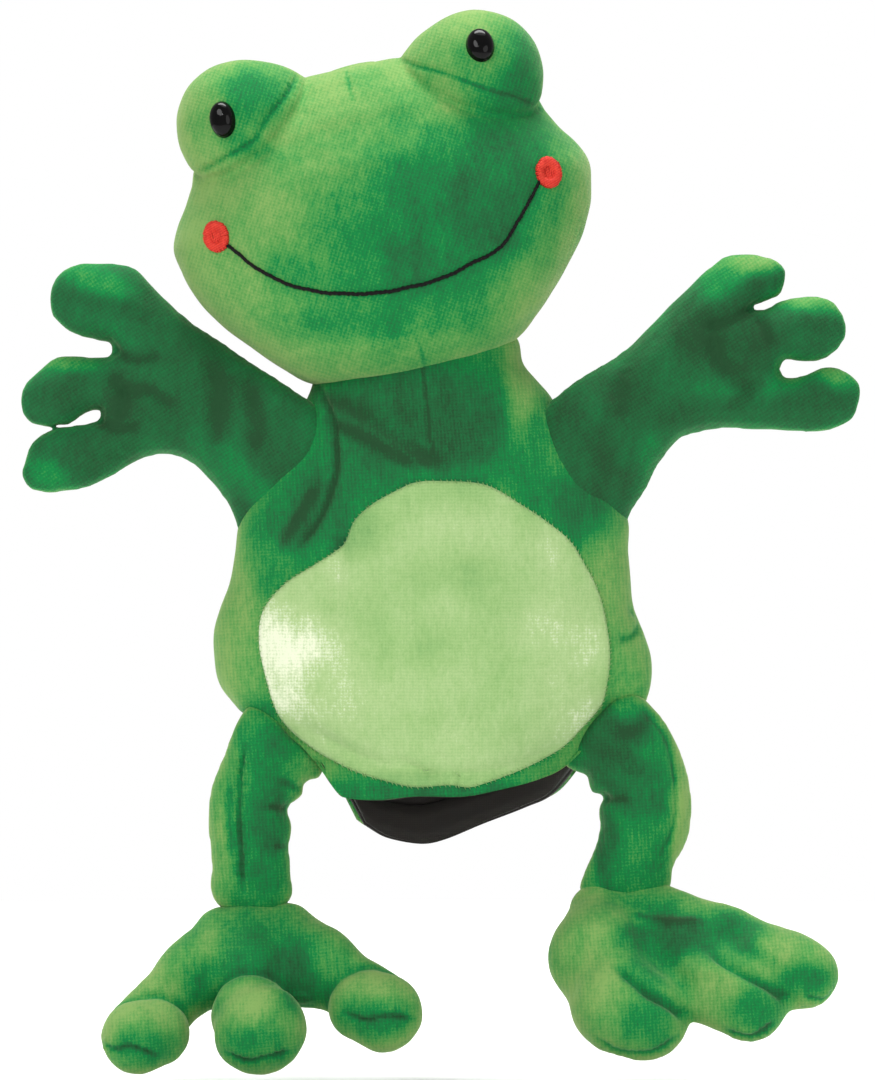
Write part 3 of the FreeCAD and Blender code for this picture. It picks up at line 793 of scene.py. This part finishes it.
def head_field(step):
    """The head's distance field: skull, eye bumps, the valleys at its seams, and the finger pocket's hole."""
    low = np.array((-78.0, -58.0, -62.0))
    high = np.array((78.0, 50.0, 66.0))
    x, y, z = np.meshgrid(*(np.arange(a, b, step) for a, b in zip(low, high)), indexing="ij")
    half = np.maximum(profile(HEAD_FORM, z, 1), 2)
    front, back = profile(HEAD_FORM, z, 2), profile(HEAD_FORM, z, 3)
    middle, deep = (front + back) / 2, np.maximum((back - front) / 2, 2)
    across, along = np.abs(x + HEAD_OFF_CENTRE) / half, np.abs(y - middle) / deep
    r = (across ** HEAD_ROUND + along ** HEAD_ROUND) ** (1 / HEAD_ROUND)
    beyond_ends = np.maximum(z - HEAD_FORM[-1][0], HEAD_FORM[0][0] - z)
    skull = np.maximum((r - 1) * np.minimum(half, deep), beyond_ends)
    field = skull
    for side in (-1, 1):
        bump, inner = (np.sqrt((x - side * at[0]) ** 2 + (y - at[1]) ** 2 + (z - at[2]) ** 2) - radius
                       for at, radius in ((BUMP_AT, BUMP_R), (BUMP_INNER, BUMP_INNER_R)))
        bump = smooth_join(bump, inner, 7.0)
        crease = 1.2 * np.exp(-(skull ** 2 + bump ** 2) / 1.6 ** 2)
        field = smooth_join(field, bump, 4.0) + crease
    mouth, _ = path_distance(x[:, 0], z[:, 0], spline(MOUTH, 6))
    field += 1.2 * np.exp(-(mouth[:, None] / 2.4) ** 2) * (y < -5)
    field += 0.5 * np.exp(-((y - SIDE_SEAM_Y) / 0.9) ** 2)
    neck = neck_in_head()
    top = neck[2] + POCKET_START + POCKET_LENGTH
    pocket = np.sqrt((x - neck[0]) ** 2 + y ** 2 + np.maximum(z - top, 0) ** 2) - POCKET_RADIUS
    return np.maximum(field, -pocket), low


def make_head():
    """The stuffed head's cover with its mouth, eyes and cheek dots, worked out upright and then leaned."""
    field, low = head_field(1.0)
    co, faces = skin_field(field, low, 1.0)
    co = relax(co, faces, 3)
    faces = facing_out(co, faces, (0, 0, -5))
    co = settled(co, faces, 5.0, 0.5)
    normal = normals_of(co, faces)
    co, dark = dent(co, normal, HEAD_DARTS)
    co = co + normal * (0.30 * waves(co, 26, 11) + 0.12 * waves(co, 9, 12))[:, None]
    surface = tree_of(co, faces)
    row = to_row(co)
    row_normal = normals_of(row, faces)
    row, seam_painted_shade = dent(row, row_normal, BUMP_SEAMS)
    # painted sheen at the turned edges and the patches' painted shade and sheen, then painted shade in the
    # darts and along the eye bumps' seams
    nap_and_painted_light = pile_with_painted_light(row, row_normal, 0.86, HEAD_NAP_AND_PAINTED_LIGHT, 0.16) + 0.05 * waves(row, 14, 13)
    nap_and_painted_light = nap_and_painted_light - 0.25 * dark - 0.30 * seam_painted_shade
    head = add("head_cover", row, faces, green_head, nap_and_painted_light)
    place(head, "head", "velour_green", "face_panel", "chin_panel", "head_back", "eye_bump_left",
          "eye_bump_right", "head_stuffing")
    make_mouth(surface)
    for side in ("left", "right"):
        make_eye(surface, side)
        make_dot(surface, side)


def make_mouth(surface):
    """Two twisted plies of black thread along the mouth's line."""
    path = spline(MOUTH[1:-1], 34)
    path[:, 1] += 0.12 * np.sin(path[:, 0] * 0.6) + 0.08 * np.sin(path[:, 0] * 2.3)
    line = on_surface(surface, path, np.full(len(path), 0.15))
    travelled = np.concatenate([[0], np.cumsum(np.linalg.norm(np.diff(line, axis=0), axis=1))])
    plies = []
    for start in (0, math.pi):
        turn = travelled * 2 * math.pi / 3.0 + start
        offset = np.stack([np.zeros(len(turn)), 0.18 * np.cos(turn), 0.26 * np.sin(turn)], 1)
        plies.append(tube(to_row(line + offset), 0.47, 7))
    mouth = add_joined("mouth_thread", plies, black_thread)
    place(mouth, "head", "thread_black", "mouth_embroidery")


def make_eye(surface, side):
    """A domed oval safety eye with a thin rim, sunk a little into the pile."""
    x, z, half_wide, half_high, lean = EYES[side]
    hit, _ = front_of(surface, x, z)
    out = np.array((x, hit[1], z)) - BUMP_AT * (-1 if side == "left" else 1, 1, 1)
    out /= np.linalg.norm(out)
    across = np.cross(out, (0, 0, 1))
    across /= np.linalg.norm(across)
    up = np.cross(across, out)
    a = math.radians(lean)
    across, up = across * math.cos(a) + up * math.sin(a), up * math.cos(a) - across * math.sin(a)
    dome = spline(EYE_DOME, 5)[1:]
    turns = 64
    turn = np.linspace(0, 2 * math.pi, turns, endpoint=False)
    rings = np.array([np.array(hit) + out * (h - 0.5) + r * (across * (half_wide * c) + up * (half_high * s))
                      for r, h in dome for c, s in zip(np.cos(turn), np.sin(turn))])
    eye = add("eye_dome_" + side, to_row(rings), capped(len(dome), turns), eye_black)
    place(eye, "head", "eye_plastic", "eye_" + side)


def make_dot(surface, side):
    """A cheek dot: a few satin stitches inside a raised ring of stitches that run to its middle."""
    x, z = DOTS[side]
    parts = []
    for i in range(7):
        across = (i - 3) / 3.4
        reach = math.sqrt(1 - across ** 2)
        shares = np.linspace(-1, 1, 7)
        line = [(x + 2.2 * across + 0.15 * rng.uniform(-1, 1), z + 2.8 * reach * t) for t in shares]
        lift = [0.1 + 0.3 * math.sqrt(1 - t * t) for t in shares]
        parts.append(tube(to_row(on_surface(surface, line, lift)), 0.42, 6))
    count = 46
    for i in range(count):
        turn = 2 * math.pi * (i + 0.2 * rng.uniform(-1, 1)) / count
        wide, high = 0.84 * math.cos(turn), 1.06 * math.sin(turn)
        reach = 1 + 0.03 * rng.uniform(-1, 1)
        line = [(x + r * reach * wide, z + r * reach * high) for r in (4.7, 4.4, 3.7, 2.7, 1.6)]
        on = on_surface(surface, line, (0.0, 0.85, 1.3, 1.05, 0.1))
        parts.append(tube(to_row(on), (0.34, 0.42, 0.42, 0.34, 0.2), 6))
    dot = add_joined("cheek_stitches_" + side, parts, red_thread)
    place(dot, "head", "thread_red", "cheek_dot_" + side)


# ---- inner cloth tubes ------------------------------------------------------------------------
def cloth_tube(name, path, radii, body, node, gathers, material, slot="lining_black"):
    """A soft tube with lengthwise gathers along a path."""
    path = spline(path, 6)
    radii = spline([(i, r) for i, r in enumerate(radii)], 6)[:, 1]
    along = np.gradient(path, axis=0)
    along /= np.linalg.norm(along, axis=1, keepdims=True)
    side = np.cross(along, (0, 1, 0))
    side /= np.linalg.norm(side, axis=1, keepdims=True)
    up = np.cross(along, side)
    turn = np.linspace(0, 2 * math.pi, 96, endpoint=False)
    pleat = 1 + 0.03 * np.sin(gathers * turn) + 0.012 * np.sin(2.3 * gathers * turn + 1)

    def rings(shrink):
        r = np.maximum(radii[:, None] * pleat - shrink, 0.3)
        spokes = side[:, None] * (r * np.cos(turn))[..., None] + up[:, None] * (r * np.sin(turn))[..., None]
        return path[:, None] + spokes

    co, faces = sheet_of(rings(0), rings(1.0))
    piece = add(name, co, faces, material, np.full(len(co), 0.3))
    place(piece, body, slot, node)


def make_linings():
    """The neck's two sleeves, the finger pocket inside the head, and the armholes' linings."""
    cloth_tube("neck_gathers", [NECK + (0, 0, -9), NECK, NECK + (0, 0, 11)], (21.8, 22.6, 19.5),
               "neck_sleeve", "neck_sleeve", 14, green, "velour_green")
    cloth_tube("neck_inner_sleeve", [NECK + (0, 0, -9), NECK, NECK + (0, 0, 12)], (19.3, 19.9, 17.0),
               "neck_lining", "neck_lining", 12, black_lining)
    neck = neck_in_head()
    base = neck + (0, 0, POCKET_START - 2)
    end = neck + (0, 0, POCKET_START + POCKET_LENGTH)
    pocket = to_row(np.array([base, base + (0, 0, 12), base + (0, 0, 26), end, end + (0, 0, 8)]))
    cloth_tube("finger_pocket_sleeve", pocket, (10.6, 10.3, 10.3, 10.0, 3.0),
               "head", "finger_pocket", 9, black_lining)
    for side, inward in (("left", 1), ("right", -1)):
        at = joint_at["arm_%s_raise" % side]
        path = [at + (inward * reach, 0, 0) for reach in (18, 15, 12)]
        cloth_tube("armhole_sleeve_" + side, path, (12.4, 13.0, 14.5),
                   "shoulder_" + side, "armhole_lining_" + side, 11, black_lining)


# ---- stuffed flat shapes: arms and legs -------------------------------------------------------
EDGE_SLOPE = 17.0   # how much the squared half thickness grows per mm inwards from a stitched edge


def plump(outline, step, soft):
    """How thick a stuffed flat outline swells: its squared half thickness on a grid, negative outside."""
    low = outline.min(0) - 5
    size = outline.max(0) + 5 - low
    x, z = np.meshgrid(*(low[k] + np.arange(0, size[k], step) for k in (0, 1)), indexing="ij")
    within = inside(x, z, outline)
    away, _ = path_distance(x, z, np.vstack([outline, outline[:1]]))
    u = np.where(within, np.minimum(away * 6, 60), 0.0)
    pull = 4 + (step / soft) ** 2
    for _ in range(900):
        around = u[:-2, 1:-1] + u[2:, 1:-1] + u[1:-1, :-2] + u[1:-1, 2:]
        u[1:-1, 1:-1] = np.where(within[1:-1, 1:-1], (around + step ** 2) / pull, 0)
    squared = np.where(away < 1.6, u + 0.5 * EDGE_SLOPE * away, 2 * u)
    return np.where(within, squared, -EDGE_SLOPE * away), low, x, z


def stuffed(outline, step, soft, fatness, bow):
    """Meshes a stuffed outline. bow gives the middle plane's y at each (x, z)."""
    squared, low, x, z = plump(outline, step, soft)
    squared = squared * np.where(squared > 0, fatness, 1)
    middle = bow(x, z)
    top = math.sqrt(squared.max()) + 4
    y = np.arange(middle.min() - top, middle.max() + top, step)
    field = ((y[None, :, None] - middle[:, None, :]) ** 2 - squared[:, None, :]) / EDGE_SLOPE
    co, faces = skin_field(field, (low[0], y[0], low[1]), step)
    co = relax(co, faces, 4)
    faces = facing_out(co, faces, co.mean(0))
    co = settled(co, faces, 4.0, 0.4)
    return co, faces, normals_of(co, faces)


# Outlines and folds are (x, z) from the joint; folds are (path, width, depth, pucker pitch) each, as
# dent takes them, and the nap patches, which hold painted shade and painted sheen, are as the pile painting
# function takes them.
ARMS = {
    "left": {
        "outline": [
            (11, 22), (1, 28.5), (-9, 35.5), (-19, 42), (-26, 47), (-32, 52), (-38, 58), (-43, 63),
            (-48, 65.5), (-56, 66.3), (-63, 66), (-69, 63), (-72, 58), (-72.3, 52), (-71, 48),
            (-67, 44), (-63, 42), (-57, 40.7), (-53, 40), (-51.5, 37), (-54, 34.5), (-59, 34.7),
            (-66, 35.7), (-71, 35), (-76, 31), (-80.5, 26), (-82.5, 20), (-80, 13.5), (-74, 11.8),
            (-69, 12.4), (-65, 13.2), (-60, 16.6), (-56, 16.8), (-57, 14), (-61, 12.6), (-66, 11.8),
            (-71, 11.2), (-78, 7), (-81, 0), (-82, -4), (-79.5, -8.5), (-74, -10.2), (-66, -9.5),
            (-59, -8), (-52, -4.5), (-46, -1), (-40, 1.5), (-34, 2.2), (-28, 0.5), (-23, -3),
            (-18, -8), (-14, -13.5), (-11, -20), (-9, -24), (-4, -22), (3, -15), (11, -7), (17, 0),
            (19.5, 6), (19, 12), (16, 18)],
        "folds": [
            ([(-52, 30), (-48, 22), (-50, 14)], 2.2, 1.6, 0),
            ([(-50, 22), (-40, 24), (-31, 18)], 2.4, 1.4, 0),
            ([(-52, 38), (-45, 34), (-36, 35)], 1.6, 1.4, 0),
            ([(-58, 15), (-50, 11), (-42, 12)], 1.6, 1.4, 0),
            ([(-6, 26), (-4, 14), (-6, 4)], 3.0, 1.0, 0),
            ([(-20, 36), (-16, 22), (-18, 4)], 4.0, 0.9, 0)],
        "nap_and_painted_light": [
            (-76, 108, 15, 11, 0.34, -20), (-58, 96, 12, 5, 0.40, -60), (-112, 168, 13, 5, 0.55, -20),
            (-123, 141, 12, 3.5, 0.52, -6), (-129, 104, 8, 5, 0.52, -30), (-48, 122, 9, 10, 0.22),
            (-106, 152, 16, 5, 0.24, -20), (-104, 128, 14, 8, 0.06), (-84, 140, 12, 9, 0.20)],
    },
    "right": {
        "outline": [
            (-12.5, 22), (-6, 27), (1, 31.5), (9, 37), (17, 44), (25, 52), (31, 58), (36, 63),
            (42, 68), (47, 69.3), (53, 69.2), (59, 67.5), (63, 64.5), (63, 59), (61, 55.5), (55, 52.7),
            (52, 51.5), (53, 50.5), (57, 51), (61, 53.5), (66, 55.3), (74, 55), (79, 53), (82, 49),
            (83.5, 43), (82, 39), (79, 36), (75, 34), (69, 33.5), (63, 34), (61, 31.5), (62, 28.5),
            (65, 27.5), (70, 28.5), (75, 31), (79, 31.5), (84, 29.5), (87.5, 25), (87, 19), (85, 14.5),
            (80, 11.5), (74, 10), (64, 10), (54, 10.5), (44, 11), (36, 10), (29, 8), (24, 3),
            (20, -2.5), (16, -10), (12, -16), (9.5, -22), (9, -25.5), (3, -26), (-3, -24), (-9, -20.5),
            (-15, -16), (-18, -8), (-19.5, 0), (-20, 9), (-19, 14), (-15, 20)],
        "folds": [
            ([(52, 51), (44, 47), (36, 45)], 2.0, 2.0, 0),
            ([(39, 43), (40, 35), (46, 28), (53, 22)], 3.2, 2.2, 0),
            ([(54, 48), (56, 43), (58, 38)], 1.8, 1.6, 0), ([(9, 32), (8, 24), (9, 14)], 3.0, 1.0, 0),
            ([(56, 28), (50, 22), (44, 18)], 2.4, 1.0, 0)],
        "nap_and_painted_light": [
            (70, 112, 12, 7, 0.30, 20), (46, 108, 12, 20, 0.08), (101, 174, 15, 5, 0.78, 8),
            (93, 167, 8, 5, 0.5, 40), (123, 161, 14, 4, 0.58, -6), (130, 137, 8, 4.5, 0.58, -25),
            (112, 134, 7, 3.5, 0.42), (98, 132, 18, 5, 0.30), (84, 150, 12, 9, 0.06),
            (98, 150, 9, 9, 0.05), (60, 128, 12, 8, 0.16, 40)],
    },
}


def make_arm(side):
    """A hollow sleeve with a padded three-fingered hand, which bends where it joins the body."""
    data = ARMS[side]
    shoulder = joint_at["arm_%s_raise" % side]
    at = shoulder[[0, 2]]
    outward = -1 if side == "left" else 1

    def bow(x, z):
        reach = outward * (x - at[0])
        return -13.0 * (1 - smooth_step(reach, -18, 14)) - 2.5 * smooth_step(reach, 30, 80)

    co, faces, normal = stuffed(spline(np.array(data["outline"]) + at, 5, True), 1.0, 11.0, 1.12, bow)
    co, dark = dent(co, normal, moved(data["folds"], *at))
    reach = outward * (co[:, 0] - at[0])
    at_edge = np.exp(-(np.abs(co[:, 1] - bow(co[:, 0], co[:, 2])) / 0.8) ** 2)
    seam = 0.45 * at_edge * smooth_step(reach, 0, 10)
    co = co + normal * (0.35 * waves(co, 22, 21) + 0.12 * waves(co, 8, 22) - seam)[:, None]
    # Painted sheen on the fingertips where they turn from the front, painted shade along the folds, and the
    # patches' painted shade and sheen.
    fingertip_sheen = smooth_step(outward * (co[:, 0] - at[0]), 40, 75)
    nap_and_painted_light = pile_with_painted_light(co, normal, 0.13, data["nap_and_painted_light"], 0.34) - 0.18 * dark + 0.05 * waves(co, 12, 23)
    nap_and_painted_light = nap_and_painted_light + 0.24 * fingertip_sheen * (1 - np.abs(normal[:, 1]))
    arm = add("arm_%s_cover" % side, co, faces, green_arm, nap_and_painted_light)
    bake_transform(arm)
    place(arm, None, "velour_green", "arm_%s_front" % side, "arm_%s_back" % side, "hand_wadding_" + side)


LEGS = {
    "left": {
        "outline": [
            (-7.5, 16), (-11.5, 9), (-15.5, -1), (-18.5, -9), (-19.8, -17), (-19.5, -26), (-18.5, -36),
            (-18.4, -45), (-14, -51), (-6, -53), (2, -51.5), (7.5, -46), (7, -37), (6.5, -29),
            (7.5, -23), (6.5, -17), (11, -13), (11.5, -9.5), (13.5, -7.5), (16.5, -6.7), (17.5, -3),
            (13, 3), (7, 8), (1.5, 14), (-3.5, 17)],
        "folds": [
            ([(-7.5, 4), (-9.2, -6), (-9.6, -18), (-9, -30), (-8.4, -44)], 0.9, 1.9, 3.4),
            ([(-12.5, -8), (-13, -20), (-12, -32)], 1.4, 0.5, 3.4),
            ([(6.5, -17), (3, -16.5), (0, -16)], 1.0, 0.5, 0),
            ([(11, -11), (7, -9), (4, -8)], 1.2, 0.5, 0),
            ([(6.5, -29), (4, -29.5), (2, -29)], 0.9, 0.4, 0)],
        "nap_and_painted_light": [
            (-61, -10, 9, 32, 0.40), (-55, -10, 6, 26, 0.30), (-66, 2, 4, 12, 0.62),
            (-51, 16, 9, 7, 0.28, 40), (-72, -20, 4, 20, 0.82)],
    },
    "right": {
        "outline": [
            (8.5, 16.5), (13.5, 11), (18.5, 2), (21.5, -6), (23, -15), (22.8, -23), (21, -31),
            (17.5, -38), (16.5, -45), (12, -51), (2, -54.5), (-8, -51.5), (-13, -46), (-11.5, -40),
            (-8.5, -33), (-6.7, -26), (-7, -19), (-5.5, -16), (-6, -14.5), (-9.5, -14), (-11, -10),
            (-12, -8), (-18, -5), (-18.5, -1), (-14.5, 5), (-9.5, 11), (-2.5, 17), (3, 19)],
        "folds": [
            ([(-5.5, -15.5), (-2, -16), (2, -15.5)], 1.2, 0.8, 0),
            ([(10, 14), (6, 8), (-2, 6)], 3.0, 0.5, 0),
            ([(7, 14), (14, 6), (17.5, -6), (18.5, -16), (17, -26), (13, -34)], 0.8, 0.7, 0)],
        "nap_and_painted_light": [
            (63, -6, 13, 30, 0.40), (56, 14, 13, 15, 0.14, 30), (63, 0, 12, 10, 0.22),
            (55, -18, 4, 14, 0.16), (64, -24, 9, 9, 0.46), (79.5, -10, 3.6, 24, 1.0)],
    },
}


def make_leg(side):
    """A stuffed tube that hangs from the body's lower corner and bends at its seam."""
    data = LEGS[side]
    hip = joint_at["leg_%s_swing" % side]
    at = hip[[0, 2]]

    def bow(x, z):
        return -9.0 * smooth_step(z - at[1], -10, 14)

    co, faces, normal = stuffed(spline(np.array(data["outline"]) + at, 5, True), 0.9, 14.0, 1.05, bow)
    co, dark = dent(co, normal, moved(data["folds"], *at))
    co = co + normal * (0.35 * waves(co, 18, 31) + 0.12 * waves(co, 7, 32))[:, None]
    # painted sheen at the turned edges, painted shade along the folds, and the patches' painted shade and
    # sheen
    nap_and_painted_light = pile_with_painted_light(co, normal, 0.55, data["nap_and_painted_light"], 0.55) - 0.30 * dark + 0.06 * waves(co, 10, 33)
    leg = add("leg_%s_sleeve" % side, co, faces, green, nap_and_painted_light)
    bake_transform(leg)
    place(leg, None, "velour_green", "leg_%s_cover" % side, "leg_%s_stuffing" % side)


# (x, y, z, radius) from the ankle: three limbs, webs that fill the gaps between them, and the rounder toes.
# join is how softly a toe meets its limb, and crease is how deep its seam is and how much painted shade lies
# in it.
WEB_START = (0, -2, -13, 9)
FEET = {
    "left": {
        "limbs": [[(-9.0, -2, -12.0, 9.5), (-18.5, -10, -24.0, 10.2), (-35.5, -18, -42.5, 11.5)],
                  [(0.5, -2, -12.5, 10.5), (1.0, -13, -24, 12.0), (1.5, -19, -36, 11.0)],
                  [(12.0, -2, -10.5, 9.5), (23, -11, -20.5, 10.8), (42.0, -18, -34.0, 11.8)]],
        "web": [(-17, -12, -25.4, 9.4), (18, -13, -24.8, 9.6)],
        "toes": [((-31.2, -25, -42.4, 11.4), (-36.2, -28, -43.8, 12.1)),
                 ((1.2, -26, -37.4, 13.8), (3.2, -30, -40.4, 15.6)),
                 ((38.8, -24, -34.0, 12.3), (44.4, -27, -35.8, 12.7))],
        "join": 3.0, "crease": 1.0,
        "folds": [
            ([(-50, -44.5), (-44, -47), (-38, -46), (-30, -49)], 0.9, 1.4, 2.6),
            ([(-7, -48), (0, -51), (6, -50), (14, -48)], 0.9, 1.4, 2.6),
            ([(31, -35.5), (38, -37.5), (46, -36), (54, -37.5)], 0.9, 1.4, 2.6)],
        "nap_and_painted_light": [
            (-62, -50, 25, 15, 0.50), (-60, -55, 20, 7, 0.36), (-46, -62, 9, 10, 0.26),
            (-78, -64, 9, 8, 0.36), (-76, -47, 7, 9, 0.74, 45), (-96, -69, 12, 4.5, 0.95, 20),
            (-95, -82, 11, 7, 0.40), (-62, -66, 11, 6, 0.92), (-59, -82, 13, 8, 0.46),
            (-26, -62, 12, 4.5, 0.90, -25), (-22, -73, 13, 7, 0.48), (-36, -54, 7, 6, 0.56)],
    },
    "right": {
        "limbs": [[(-8.0, -2, -8.5, 10.5), (-9.0, -14, -22, 15.0), (-2.0, -20, -36, 15.0)],
                  [(2, -2, -10, 10), (20, -14, -22, 11.5), (33.0, -20, -33.0, 11.5)],
                  [(9, -2, -6.5, 9.0), (31, -11, -16.5, 10.4), (53.0, -17, -24.0, 10.6)]],
        "web": [(13, -15, -28, 10), (43, -16, -27, 8.5)],
        "toes": [((-2.6, -29, -37.6, 15.3), (5.4, -32, -40.8, 14.6)),
                 ((29.0, -28, -31.6, 12.0), (39.6, -31, -36.4, 12.9)),
                 ((47.0, -24, -23.4, 10.6), (58.0, -27, -27.2, 11.3))],
        "join": 7.0, "crease": 0.0,
        "folds": [
            ([(-4, -24), (0.5, -27), (6, -32), (14, -36.5), (20.5, -41.5)], 2.0, 3.0, 0),
            ([(26, -18.5), (29, -20.5), (36.5, -25.5), (46, -30.5), (54, -36)], 1.8, 2.6, 0),
            ([(-10, -48), (-2, -52), (8, -52), (16, -47)], 0.9, 0.9, 2.6),
            ([(32, -45), (40, -47), (48, -42)], 0.9, 0.9, 2.6),
            ([(58, -34), (65, -35), (69, -30)], 0.9, 0.9, 2.6),
            ([(2, -8.5), (14, -10.5), (24, -10)], 1.4, -0.8, 0)],
        "nap_and_painted_light": [
            (72, -48, 20, 14, 0.40, -25), (76, -47, 14, 7, 0.22, -20), (98, -46, 13, 7, 0.30, -25),
            (48, -48, 9, 14, 0.85), (58, -40, 14, 3, 0.74, -8), (53, -63, 9, 9, 0.92),
            (67, -74, 12, 9, 0.42), (88, -59, 10, 6, 0.92, -25), (103, -71, 10, 8, 0.40),
            (112, -51, 10, 4, 0.86, -25), (119, -61, 10, 6, 0.42)],
    },
}


def cone_distance(x, y, z, a, b):
    """Distance to a tapered round limb between two (x, y, z, radius) ends."""
    ax, ay, az, ar = a
    dx, dy, dz = b[0] - ax, b[1] - ay, b[2] - az
    t = np.clip(((x - ax) * dx + (y - ay) * dy + (z - az) * dz) / (dx * dx + dy * dy + dz * dz), 0, 1)
    gap = np.sqrt((x - ax - t * dx) ** 2 + (y - ay - t * dy) ** 2 + (z - az - t * dz) ** 2)
    return gap - (ar + (b[3] - ar) * t)


def make_foot(side):
    """A stuffed foot: three limbs joined by a web, each with a rounder toe sewn off at its end."""
    data = FEET[side]
    ankle = joint_at["foot_%s_flex" % side]
    points = np.array([p[:3] for toe in data["toes"] for p in toe] + [p[:3] for p in data["limbs"][0]])
    low, high = points.min(0) - 22, points.max(0) + 22
    x, y, z = np.meshgrid(*(np.arange(a, b, 1.0) for a, b in zip(low, high)), indexing="ij")
    field = None
    for first, middle, last in data["limbs"]:
        limb = smooth_join(cone_distance(x, y, z, first, middle), cone_distance(x, y, z, middle, last), 6.0)
        field = limb if field is None else smooth_join(field, limb, 5.0)
    for web_end in data["web"]:
        field = smooth_join(field, cone_distance(x, y, z, WEB_START, web_end), 6.0)
    for toe_ends in data["toes"]:
        toe = cone_distance(x, y, z, *toe_ends)
        crease = data["crease"] * np.exp(-(field ** 2 + toe ** 2) / 1.5 ** 2)
        field = smooth_join(field, toe, data["join"]) + crease
    co, faces = skin_field(field, low, 1.0)
    co = relax(co, faces, 3) + ankle
    faces = facing_out(co, faces, co.mean(0))
    co = settled(co, faces, 4.0, 0.4)
    normal = normals_of(co, faces)
    co, dark = dent(co, normal, moved(data["folds"], ankle[0], ankle[2]))
    co = co + normal * (0.3 * waves(co, 16, 41) + 0.12 * waves(co, 6, 42))[:, None]
    # painted sheen at the turned edges, painted shade along the folds, and the patches' painted shade and
    # sheen
    nap_and_painted_light = pile_with_painted_light(co, normal, 0.80, data["nap_and_painted_light"], 0.2) - 0.40 * dark + 0.07 * waves(co, 9, 43)
    # painted shade in each toe's seam
    for toe_ends, (_, middle, last) in zip(data["toes"], data["limbs"]):
        at = (co - ankle).T
        toe, limb = cone_distance(*at, *toe_ends), cone_distance(*at, middle, last)
        nap_and_painted_light = nap_and_painted_light - 0.40 * data["crease"] * np.exp(-(toe ** 2 + limb ** 2) / 2.4 ** 2)
    foot = add("foot_%s_cover" % side, co, faces, green, nap_and_painted_light)
    place(foot, "foot_" + side, "velour_green", "foot_%s_top" % side, "foot_%s_sole" % side,
          "foot_%s_stuffing" % side)


# ---- the whole puppet -------------------------------------------------------------------------
body_co, body_faces = make_body()
make_belly(tree_of(body_co, body_faces))
make_head()
make_linings()
for side in ("left", "right"):
    make_arm(side)
    make_leg(side)
    make_foot(side)
    washer = frame["nodes"]["eye_washer_" + side]
    washer.data.materials.clear()
    washer.data.materials.append(washer_white)


# ---- floor, light and camera: in metres ---------------------------------------------------------
FLOOR_RADIUS = 1.3
FLOOR_BELOW = 0.004
STUDIO_LIGHT = 0.42
VIEW_HEIGHT = 0.3564
VIEW_MIDDLE = (-0.0008, 0.0825)
CAMERA_AWAY = 2.6


def make_floor(low):
    """A round pale floor, open to the white studio on every side."""
    sides = 96
    angles = np.linspace(0, 2 * math.pi, sides, endpoint=False)
    co = np.array([(FLOOR_RADIUS * math.cos(a), FLOOR_RADIUS * math.sin(a), low) for a in angles])
    paper = Surface("paper")
    paper.colour(paper.noise(40, 3), [(0.3, (0.93, 0.93, 0.925)), (0.8, (0.97, 0.97, 0.965))])
    add("floor", co / MM, [list(range(sides))], paper.fixed(Roughness=0.9))


def area_light(name, at, aim, size, power):
    light = bpy.data.lights.new(name, "AREA")
    light.shape = "DISK"
    light.size = size
    light.energy = power
    lamp = bpy.data.objects.new(name, light)
    lamp.location = at
    lamp.rotation_euler = (Vector(aim) - Vector(at)).to_track_quat("-Z", "Y").to_euler()
    bpy.context.scene.collection.objects.link(lamp)


def make_studio():
    """A white room: it lights the puppet softly, and is seen as plain white."""
    world = bpy.data.worlds.new("studio")
    bpy.context.scene.world = world
    world.use_nodes = True
    nodes, links = world.node_tree.nodes, world.node_tree.links
    lighting, seen = nodes["Background"], nodes.new("ShaderNodeBackground")
    lighting.inputs["Strength"].default_value = STUDIO_LIGHT
    seen.inputs["Strength"].default_value = 1.0
    choice = nodes.new("ShaderNodeMixShader")
    links.new(nodes.new("ShaderNodeLightPath").outputs["Is Camera Ray"], choice.inputs[0])
    for socket, background in zip(choice.inputs[1:], (lighting, seen)):
        background.inputs["Color"].default_value = (1, 1, 1, 1)
        links.new(background.outputs[0], socket)
    links.new(choice.outputs[0], nodes["World Output"].inputs["Surface"])
    bpy.context.scene.view_settings.view_transform = "Standard"


def make_camera():
    """A long lens, level, looking along +Y."""
    lens = bpy.data.cameras.new("camera")
    lens.sensor_fit = "VERTICAL"
    lens.sensor_height = lens.sensor_width = 36
    lens.lens = lens.sensor_height * CAMERA_AWAY / VIEW_HEIGHT
    camera = bpy.data.objects.new("camera", lens)
    camera.location = (VIEW_MIDDLE[0], -CAMERA_AWAY, VIEW_MIDDLE[1])
    camera.rotation_euler = (math.radians(90), 0, 0)
    bpy.context.scene.collection.objects.link(camera)
    bpy.context.scene.camera = camera


low_corner, high_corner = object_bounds()
middle = (low_corner + high_corner) / 2
make_floor(low_corner.z - FLOOR_BELOW)
area_light("key", (-0.75, -1.15, 1.05), middle, 0.9, 13)
area_light("fill", (0.95, -1.2, 0.45), middle, 1.1, 5.5)
area_light("top", (0.1, 0.1, 1.6), middle, 1.2, 6)
area_light("spark", (-0.32, -1.5, 0.95), middle, 0.10, 1.1)
area_light("back", (0.0, 0.5, 2.0), (0, 2.2, 0.4), 1.6, 70)
make_studio()
make_camera()
